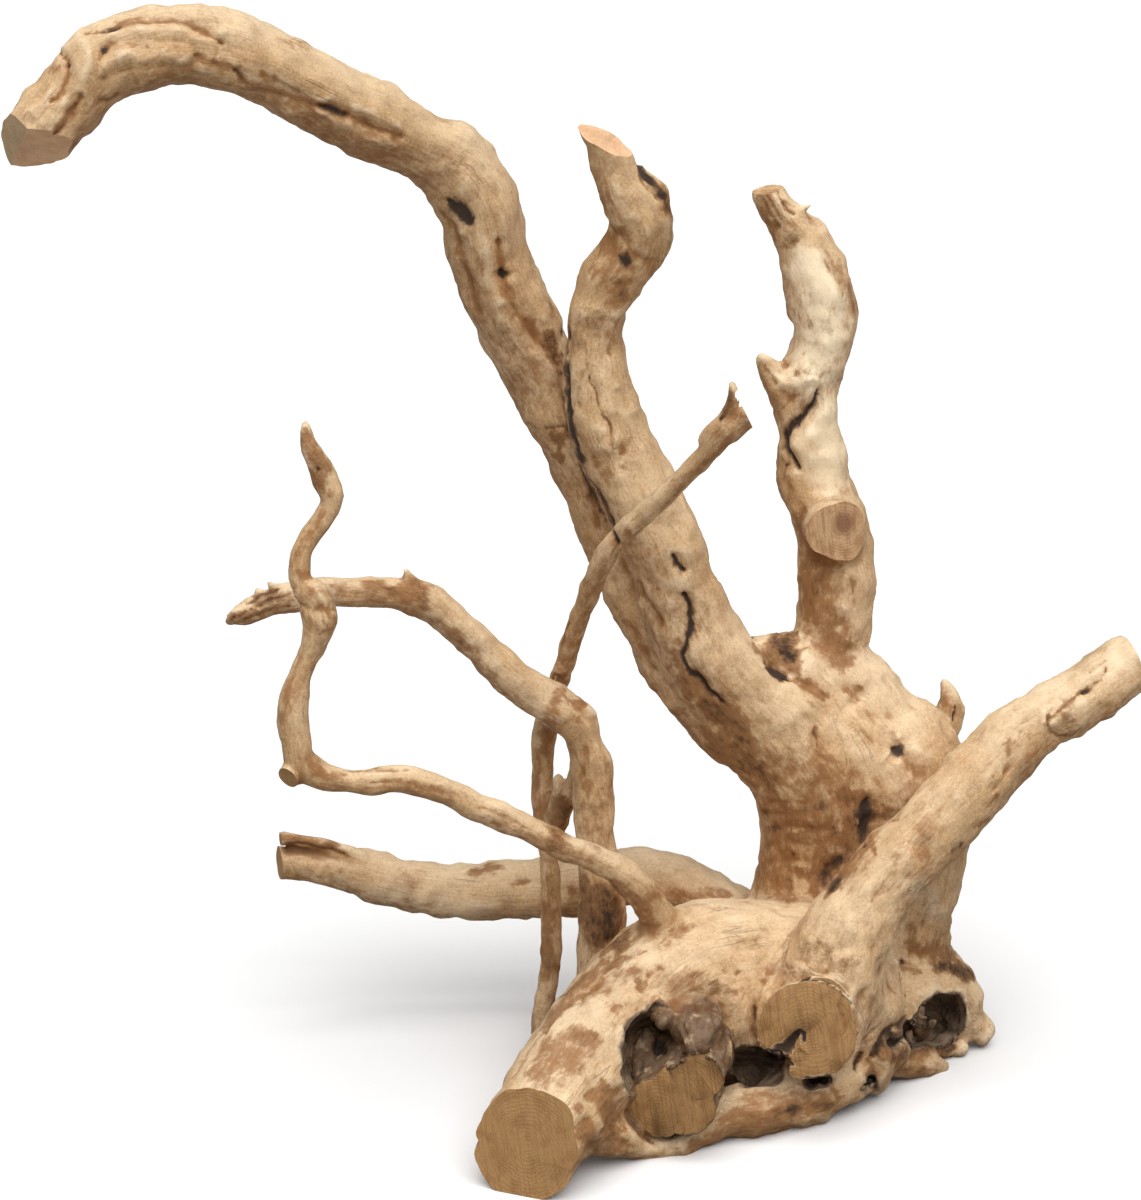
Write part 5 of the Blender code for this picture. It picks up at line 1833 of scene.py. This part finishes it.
# %% Node helpers
def srgb(red, green, blue):
    """A linear colour from the numbers a paint chart gives, 0 to 255."""
    parts = [value / 255.0 for value in (red, green, blue)]
    return tuple(p / 12.92 if p <= 0.04045 else ((p + 0.055) / 1.055) ** 2.4 for p in parts) + (1.0,)


def fill(tree, made, inputs):
    """Gives a node's inputs their numbers, or links them to the outputs of other nodes."""
    for key, value in inputs.items():
        if isinstance(value, bpy.types.NodeSocket):
            tree.links.new(value, made.inputs[key])
        else:
            made.inputs[key].default_value = value
    return made


def node(tree, kind, inputs, **settings):
    made = tree.nodes.new("ShaderNode" + kind)
    for name, value in settings.items():
        setattr(made, name, value)
    return fill(tree, made, inputs)


def maths(tree, operation, first, second=0.0):
    return node(tree, "Math", {0: first, 1: second}, operation=operation).outputs[0]


def plus(tree, first, second):
    return maths(tree, "ADD", first, second)


def minus(tree, first, second):
    return maths(tree, "SUBTRACT", first, second)


def times(tree, first, second):
    return maths(tree, "MULTIPLY", first, second)


def stretched(tree, vector, amounts):
    return node(tree, "VectorMath", {0: vector, 1: amounts}, operation="MULTIPLY").outputs[0]


def drawn_out(tree, grain_place, share):
    """A grain place with its length made smaller, so that noise is drawn out along the grain."""
    return stretched(tree, grain_place, (1.0, 1.0, share))


def pith_distance(tree, grain_place):
    across = drawn_out(tree, grain_place, 0.0)
    return node(tree, "VectorMath", {0: across}, operation="LENGTH").outputs["Value"]


def cloud(tree, vector, scale, detail=3.0, roughness=0.55):
    """Soft noise from 0 to 1. The scale is waves per millimetre."""
    inputs = {"Vector": vector, "Scale": scale, "Detail": detail, "Roughness": roughness}
    return node(tree, "TexNoise", inputs).outputs[0]


def ramp(tree, value, low, high):
    """Runs smoothly from 0 at low to 1 at high."""
    inputs = {"Value": value, "From Min": low, "From Max": high}
    return node(tree, "MapRange", inputs, interpolation_type="SMOOTHSTEP").outputs[0]


def tint(tree, share, under, over):
    """The over colour laid on the under colour, as thickly as the share says."""
    return node(tree, "Mix", {0: share, 6: under, 7: over}, data_type="RGBA").outputs[2]


def lay(tree, under, over, share, most):
    """The same, where the share is first made smaller."""
    return tint(tree, times(tree, share, most), under, over)


def new_group(name, inputs, outputs):
    """An empty shader group with named sockets. Gives the group, what comes in and what goes out."""
    group = bpy.data.node_groups.new(name, "ShaderNodeTree")
    for label, kind in inputs.items():
        group.interface.new_socket(label, in_out="INPUT", socket_type="NodeSocket" + kind)
    for label, kind in outputs.items():
        group.interface.new_socket(label, in_out="OUTPUT", socket_type="NodeSocket" + kind)
    return group, group.nodes.new("NodeGroupInput").outputs, group.nodes.new("NodeGroupOutput").inputs


def use_group(tree, group, inputs):
    return node(tree, "Group", inputs, node_tree=group).outputs


def send(group, value, socket):
    group.links.new(value, socket)

# %% [markdown]
# ## Long grain
#
# Every wooden surface shows streaks that are a hundred times longer than wide. The group stretches noise
# along the third grain number. It gives soft streaks, fine fibres, hairline drying cracks and wavy growth
# lines.

# %% The long grain group
GRAIN_NUMBERS = ("Streak", "Fibre", "Crack", "Growth")

g, put_in, put_out = new_group("long_grain", {"Grain": "Vector"}, dict.fromkeys(GRAIN_NUMBERS, "Float"))
grain_group = g
along = put_in["Grain"]
send(g, cloud(g, drawn_out(g, along, 0.06), 0.20, 5.0, 0.6), put_out["Streak"])
send(g, cloud(g, drawn_out(g, along, 0.035), 1.3, 3.0), put_out["Fibre"])
crack_wave = cloud(g, drawn_out(g, along, 0.045), 0.16, 2.0)
from_middle = maths(g, "ABSOLUTE", minus(g, crack_wave, 0.5))
crack_line = minus(g, 1.0, ramp(g, from_middle, 0.002, 0.011))
crack_zone = cloud(g, drawn_out(g, along, 0.35), 0.055, 2.0)
send(g, times(g, crack_line, ramp(g, crack_zone, 0.60, 0.68)), put_out["Crack"])
growth_sway = cloud(g, drawn_out(g, along, 0.2), 0.06, 3.0)
growth_count = plus(g, times(g, pith_distance(g, along), 0.55), times(g, growth_sway, 9.0))
send(g, ramp(g, maths(g, "PINGPONG", growth_count, 0.5), 0.36, 0.5), put_out["Growth"])
print("group:", g.name, "with", len(g.nodes), "nodes")

# %% [markdown]
# ## Weathered colour
#
# Bare sandblasted root is cream where the sun and the sand reached it, tan in the streaks, and brown where
# bark or earth held on. The pale number also carries painted highlights, and the stain number painted shade.
# The group lays these over each other: broad tone first, then blotches, flecks, stains, valleys and the
# black of deep cracks, each with its own ragged noise.

# %% Wood colours
CREAM = srgb(225, 191, 149)
HONEY = srgb(204, 165, 119)
TAN = srgb(180, 138, 92)
BROWN = srgb(150, 102, 58)
UMBER = srgb(98, 65, 39)
EARTH = srgb(58, 46, 38)
PALE_EDGE = srgb(255, 235, 200)
GREY_ROT = srgb(114, 92, 72)
# Pocket colours: rot and dirt in the hollows, darkened further as painted shade.
POCKET_DARK = srgb(92, 76, 62)
POCKET_GREY = srgb(154, 130, 108)

# %% The weathered colour group
SKIN_NUMBERS = ("Stain", "Dark", "Rough", "Pale", "Hollow", "Valley", "Rotten")

w, put_in, put_out = new_group(
    "weathered_colour",
    {"Place": "Vector", "Grain": "Vector", **dict.fromkeys(GRAIN_NUMBERS + SKIN_NUMBERS, "Float")},
    {"Color": "Color", "Roughness": "Float", "Height": "Float"},
)
weather_group = w
here, along = put_in["Place"], put_in["Grain"]
tone = plus(w, times(w, cloud(w, here, 0.020, 3.0), 0.65), times(w, put_in["Streak"], 0.35))
colour = tint(w, ramp(w, tone, 0.40, 0.58), CREAM, HONEY)
colour = lay(w, colour, TAN, ramp(w, put_in["Streak"], 0.54, 0.74), 0.32)
mottle = ramp(w, cloud(w, here, 0.13, 5.0, 0.62), 0.44, 0.60)
colour = lay(w, colour, TAN, mottle, 0.34)
colour = lay(w, colour, BROWN, put_in["Growth"], 0.08)
colour = lay(w, colour, BROWN, ramp(w, put_in["Fibre"], 0.50, 0.72), 0.32)
# Pale wood: whitened by the sun, and painted highlight on tops and lit ends.
colour = lay(w, colour, PALE_EDGE, put_in["Pale"], ramp(w, mottle, 5.0, 0.0))
not_pale = minus(w, 1.0, times(w, put_in["Pale"], 0.8))
# Ridges, where the valley number is below zero, turn paler: a painted highlight.
colour = lay(w, colour, PALE_EDGE, ramp(w, put_in["Valley"], -1.0, -3.4), 0.40)
patch = ramp(w, cloud(w, drawn_out(w, along, 0.6), 0.085, 6.0, 0.62), 0.57, 0.68)
colour = lay(w, colour, BROWN, times(w, patch, 0.45), not_pale)
fleck = ramp(w, cloud(w, drawn_out(w, along, 0.3), 0.55, 2.0), 0.60, 0.74)
fleck_zone = ramp(w, cloud(w, here, 0.035, 2.0), 0.45, 0.60)
colour = lay(w, colour, BROWN, times(w, times(w, fleck, fleck_zone), 0.55), not_pale)
speck = cloud(w, here, 0.8, 4.0, 0.6)
colour = lay(w, colour, PALE_EDGE, ramp(w, speck, 0.47, 0.70), 0.26)
nick = times(w, ramp(w, speck, 0.44, 0.30), not_pale)
colour = lay(w, colour, BROWN, nick, 0.42)
print("group so far:", len(w.nodes), "nodes")

# %% Stains, valleys and cracks in the same group
fibre_edge = cloud(w, drawn_out(w, along, 0.35), 0.42, 5.0, 0.62)
soft_edge = cloud(w, here, 0.22, 6.0, 0.66)
ragged_edge = minus(w, times(w, plus(w, fibre_edge, soft_edge), 0.68), 0.68)
stain_value = plus(w, put_in["Stain"], times(w, ragged_edge, 1.9))
stain_share = times(w, ramp(w, stain_value, 0.12, 0.88), ramp(w, put_in["Stain"], 0.02, 0.25))
# Brown stains: real stains, and painted shade under the root, in seams and in recesses.
colour = lay(w, colour, BROWN, stain_share, 0.86)
colour = lay(w, colour, UMBER, ramp(w, stain_value, 0.90, 1.30), 0.62)
# Valleys turn brown, and deep ones umber: partly dirt, partly painted shade.
colour = lay(w, colour, BROWN, ramp(w, put_in["Valley"], 0.1, 2.4), times(w, not_pale, 0.75))
colour = lay(w, colour, UMBER, ramp(w, put_in["Valley"], 2.2, 5.0), 0.55)
# Inside the hollows the wood turns to the pocket's grey-brown: rot and dirt, and painted shade.
hollow_value = plus(w, put_in["Hollow"], times(w, ragged_edge, 1.4))
pocket = tint(w, ramp(w, put_in["Streak"], 0.40, 0.60), POCKET_DARK, POCKET_GREY)
colour = lay(w, colour, pocket, ramp(w, hollow_value, 0.15, 0.9), 0.9)
rot_tone = tint(w, ramp(w, cloud(w, here, 0.20, 5.0, 0.65), 0.42, 0.60), GREY_ROT, UMBER)
rot_patch = times(w, put_in["Rotten"], ramp(w, cloud(w, here, 0.12, 5.0), 0.68, 0.52))
rot_share = plus(w, times(w, rot_patch, 0.55), times(w, put_in["Rotten"], 0.38))
colour = tint(w, rot_share, colour, rot_tone)
colour = lay(w, colour, UMBER, put_in["Crack"], times(w, not_pale, 0.30))
dark_value = plus(w, put_in["Dark"], times(w, ragged_edge, 0.8))
dark_share = times(w, ramp(w, dark_value, 0.25, 0.85), ramp(w, put_in["Dark"], 0.02, 0.15))
send(w, lay(w, colour, EARTH, dark_share, 0.97), put_out["Color"])
print("group so far:", len(w.nodes), "nodes")

# %% Roughness and small heights in the same group
dull = times(w, maths(w, "MAXIMUM", put_in["Hollow"], put_in["Dark"]), 0.2)
worn = plus(w, times(w, put_in["Streak"], 0.22), 0.50)
send(w, plus(w, worn, plus(w, times(w, put_in["Rough"], 0.16), dull)), put_out["Roughness"])
pits = times(w, maths(w, "MAXIMUM", put_in["Rough"], put_in["Hollow"]), 1.7)
height = times(w, cloud(w, along, 0.8, 4.0, 0.65), pits)
for value, amount in ((put_in["Streak"], 0.7), (put_in["Fibre"], 0.16), (put_in["Growth"], -0.06),
                      (speck, 0.22), (put_in["Crack"], -0.45)):
    height = plus(w, height, times(w, value, amount))
send(w, height, put_out["Height"])
print("group:", w.name, "with", len(w.nodes), "nodes")

# %% [markdown]
# ## Sawn faces
#
# A sawn end shows rings round the pith, rays that run out from it, and the faint straight marks of the saw.
# The place in the limb's own grain gives the distance from the pith directly.

# %% The sawn face group
HEARTWOOD = srgb(128, 84, 62)
SAW_TILT = math.radians(8.0)

s, put_in, put_out = new_group(
    "sawn_face",
    {"Own grain": "Vector", "Place": "Vector", "Light": "Color", "Deep": "Color",
     "Saw mark": "Float", "Heart": "Float"},
    {"Color": "Color", "Height": "Float"},
)
sawn_group = s
here, along, deep = put_in["Place"], put_in["Own grain"], put_in["Deep"]
sway = cloud(s, along, 0.09, 3.0)
from_pith = pith_distance(s, along)
ring_count = plus(s, times(s, from_pith, 0.55), times(s, sway, 4.0))
ring = ramp(s, maths(s, "PINGPONG", ring_count, 0.5), 0.15, 0.5)
split = node(s, "SeparateXYZ", {0: along}).outputs
angle = maths(s, "ARCTAN2", split[0], split[1])
ray_place = node(s, "CombineXYZ", {0: times(s, angle, 9.0), 1: times(s, from_pith, 0.09)}).outputs[0]
ray = ramp(s, cloud(s, ray_place, 1.0, 3.0), 0.50, 0.72)
pores = ramp(s, cloud(s, here, 1.9, 2.0), 0.60, 0.72)
patchy = ramp(s, cloud(s, along, 0.11, 4.0), 0.42, 0.66)
heart = ramp(s, plus(s, from_pith, times(s, sway, 9.0)), 13.0, 7.0)
tilted = node(s, "VectorRotate", {"Vector": here, "Angle": SAW_TILT}, rotation_type="Y_AXIS").outputs[0]
saw_line = cloud(s, stretched(s, tilted, (0.8, 0.02, 0.05)), 1.0, 3.0)
saw_share = times(s, ramp(s, saw_line, 0.48, 0.66), put_in["Saw mark"])
colour = lay(s, put_in["Light"], deep, patchy, 0.55)
colour = lay(s, colour, deep, ring, 0.10)
colour = lay(s, colour, HEARTWOOD, heart, put_in["Heart"])
colour = lay(s, colour, BROWN, ray, 0.08)
colour = lay(s, colour, UMBER, pores, 0.35)
send(s, lay(s, colour, deep, saw_share, 0.55), put_out["Color"])
height = plus(s, times(s, ring, -0.10), times(s, pores, -0.18))
send(s, minus(s, height, times(s, saw_share, 0.22)), put_out["Height"])
print("group:", s.name, "with", len(s.nodes), "nodes")

# %% [markdown]
# ## The finishes
#
# The weathered finish reads every attribute that the sculpting left. Where a stub was pressed flat it turns
# into a sawn face by itself. The other finishes are for the faces that the saw planes made.

# %% Materials
SHEEN_LEVEL = 0.32
SAWN_ROUGHNESS = 0.62
BUMP_STRENGTH = 0.8


def attribute(tree, name, kind="Fac"):
    return node(tree, "Attribute", {}, attribute_name=name).outputs[kind]


def millimetres(tree):
    place = node(tree, "TexCoord", {}).outputs["Object"]
    return stretched(tree, place, (1.0 / MM,) * 3)


def bare_material(name):
    material = bpy.data.materials.new(name)
    material.use_nodes = True
    shader = material.node_tree.nodes["Principled BSDF"]
    shader.inputs["Specular IOR Level"].default_value = SHEEN_LEVEL
    return material, material.node_tree, shader


def finish(tree, shader, colour, roughness, height):
    bump = node(tree, "Bump", {"Strength": BUMP_STRENGTH, "Distance": MM, "Height": height})
    fill(tree, shader, {"Base Color": colour, "Roughness": roughness, "Normal": bump.outputs[0]})


def sawn_face(tree, light, deep, saw_mark, heart):
    return use_group(tree, sawn_group, {
        "Own grain": attribute(tree, "own_grain", "Vector"), "Place": millimetres(tree),
        "Light": light, "Deep": deep, "Saw mark": saw_mark, "Heart": heart,
    })


def weathered_wood():
    material, tree, shader = bare_material("weathered_wood")
    along = attribute(tree, "grain", "Vector")
    grained = use_group(tree, grain_group, {"Grain": along})
    weathered = use_group(tree, weather_group, {
        "Place": millimetres(tree), "Grain": along,
        **{name: grained[name] for name in GRAIN_NUMBERS},
        **{name: attribute(tree, name.lower()) for name in SKIN_NUMBERS},
    })
    sawn = sawn_face(tree, srgb(172, 131, 84), srgb(136, 96, 56), 0.8, 0.0)
    cut = ramp(tree, attribute(tree, "cut"), 0.35, 0.65)
    colour = tint(tree, cut, weathered["Color"], sawn["Color"])
    height = node(tree, "Mix", {0: cut, 2: weathered["Height"], 3: sawn["Height"]}).outputs[0]
    finish(tree, shader, colour, weathered["Roughness"], height)
    return material


def sawn_wood(name, light, deep, saw_mark, heart):
    material, tree, shader = bare_material(name)
    sawn = sawn_face(tree, light, deep, saw_mark, heart)
    finish(tree, shader, sawn["Color"], SAWN_ROUGHNESS, sawn["Height"])
    return material


for material in (
    weathered_wood(),
    sawn_wood("sawn_wood", srgb(180, 138, 90), srgb(150, 108, 64), 0.6, 0.0),
    sawn_wood("sawn_orange", srgb(240, 196, 154), srgb(216, 164, 120), 0.3, 0.15),
    sawn_wood("sawn_grey", srgb(208, 178, 138), srgb(176, 146, 108), 0.5, 0.0),
    sawn_wood("sawn_heart", srgb(216, 176, 132), srgb(166, 114, 74), 1.0, 0.75),
):
    root.data.materials.append(material)
print("finishes:", [material.name for material in root.data.materials])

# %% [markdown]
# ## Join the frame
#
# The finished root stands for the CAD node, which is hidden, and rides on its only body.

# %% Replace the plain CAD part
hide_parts("driftwood")
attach(root, "root")
print("root box", [round(value * 1000) for value in root.dimensions], "mm")

# %% [markdown]
# ## Floor and light
#
# The root stands on a broad white floor that runs into a white surround, as on a photographer's table. A
# broad soft light from above shapes the limbs. The paper throws back less light than it shows, so that the
# undersides stay as deep as under a real studio's top light.

# %% Floor
FLOOR_HALF = 9.0
PAPER_SEEN = (0.93, 0.93, 0.93, 1.0)
PAPER_BOUNCE = (0.30, 0.29, 0.28, 1.0)
floor_shape = bmesh.new()
bmesh.ops.create_grid(floor_shape, x_segments=1, y_segments=1, size=FLOOR_HALF)
floor_mesh = bpy.data.meshes.new("studio_floor")
floor_shape.to_mesh(floor_mesh)
floor_shape.free()
floor = mesh_object("studio_floor", floor_mesh)
paper, paper_tree, paper_shader = bare_material("white_paper")
to_camera = node(paper_tree, "LightPath", {}).outputs["Is Camera Ray"]
paper_tone = tint(paper_tree, to_camera, PAPER_BOUNCE, PAPER_SEEN)
fill(paper_tree, paper_shader, {"Base Color": paper_tone, "Roughness": 0.9})
floor.data.materials.append(paper)
print("floor", 2 * FLOOR_HALF, "m square")

# %% Light
LIGHT_TILT = math.radians(24.0)
LIGHT_TURN = math.radians(8.0)
LIGHT_SPREAD = math.radians(65.0)
LIGHT_STRENGTH = 3.2
SURROUND = 0.34
WHITE = (1.0, 1.0, 1.0, 1.0)

lamp_data = bpy.data.lights.new("soft_top_light", "SUN")
lamp_data.angle = LIGHT_SPREAD
lamp_data.energy = LIGHT_STRENGTH
lamp = bpy.data.objects.new("soft_top_light", lamp_data)
lamp.rotation_euler = (LIGHT_TILT, 0.0, LIGHT_TURN)
bpy.context.scene.collection.objects.link(lamp)
world = bpy.data.worlds.new("white_surround")
world.use_nodes = True
surround = world.node_tree.nodes["Background"]
seen_directly = node(world.node_tree, "LightPath", {}).outputs["Is Camera Ray"]
strength = node(world.node_tree, "Mix", {0: seen_directly, 2: SURROUND, 3: 1.0})
fill(world.node_tree, surround, {"Strength": strength.outputs[0], "Color": WHITE})
bpy.context.scene.world = world
bpy.context.scene.view_settings.view_transform = "Standard"
print("top light", LIGHT_STRENGTH, "surround", SURROUND)
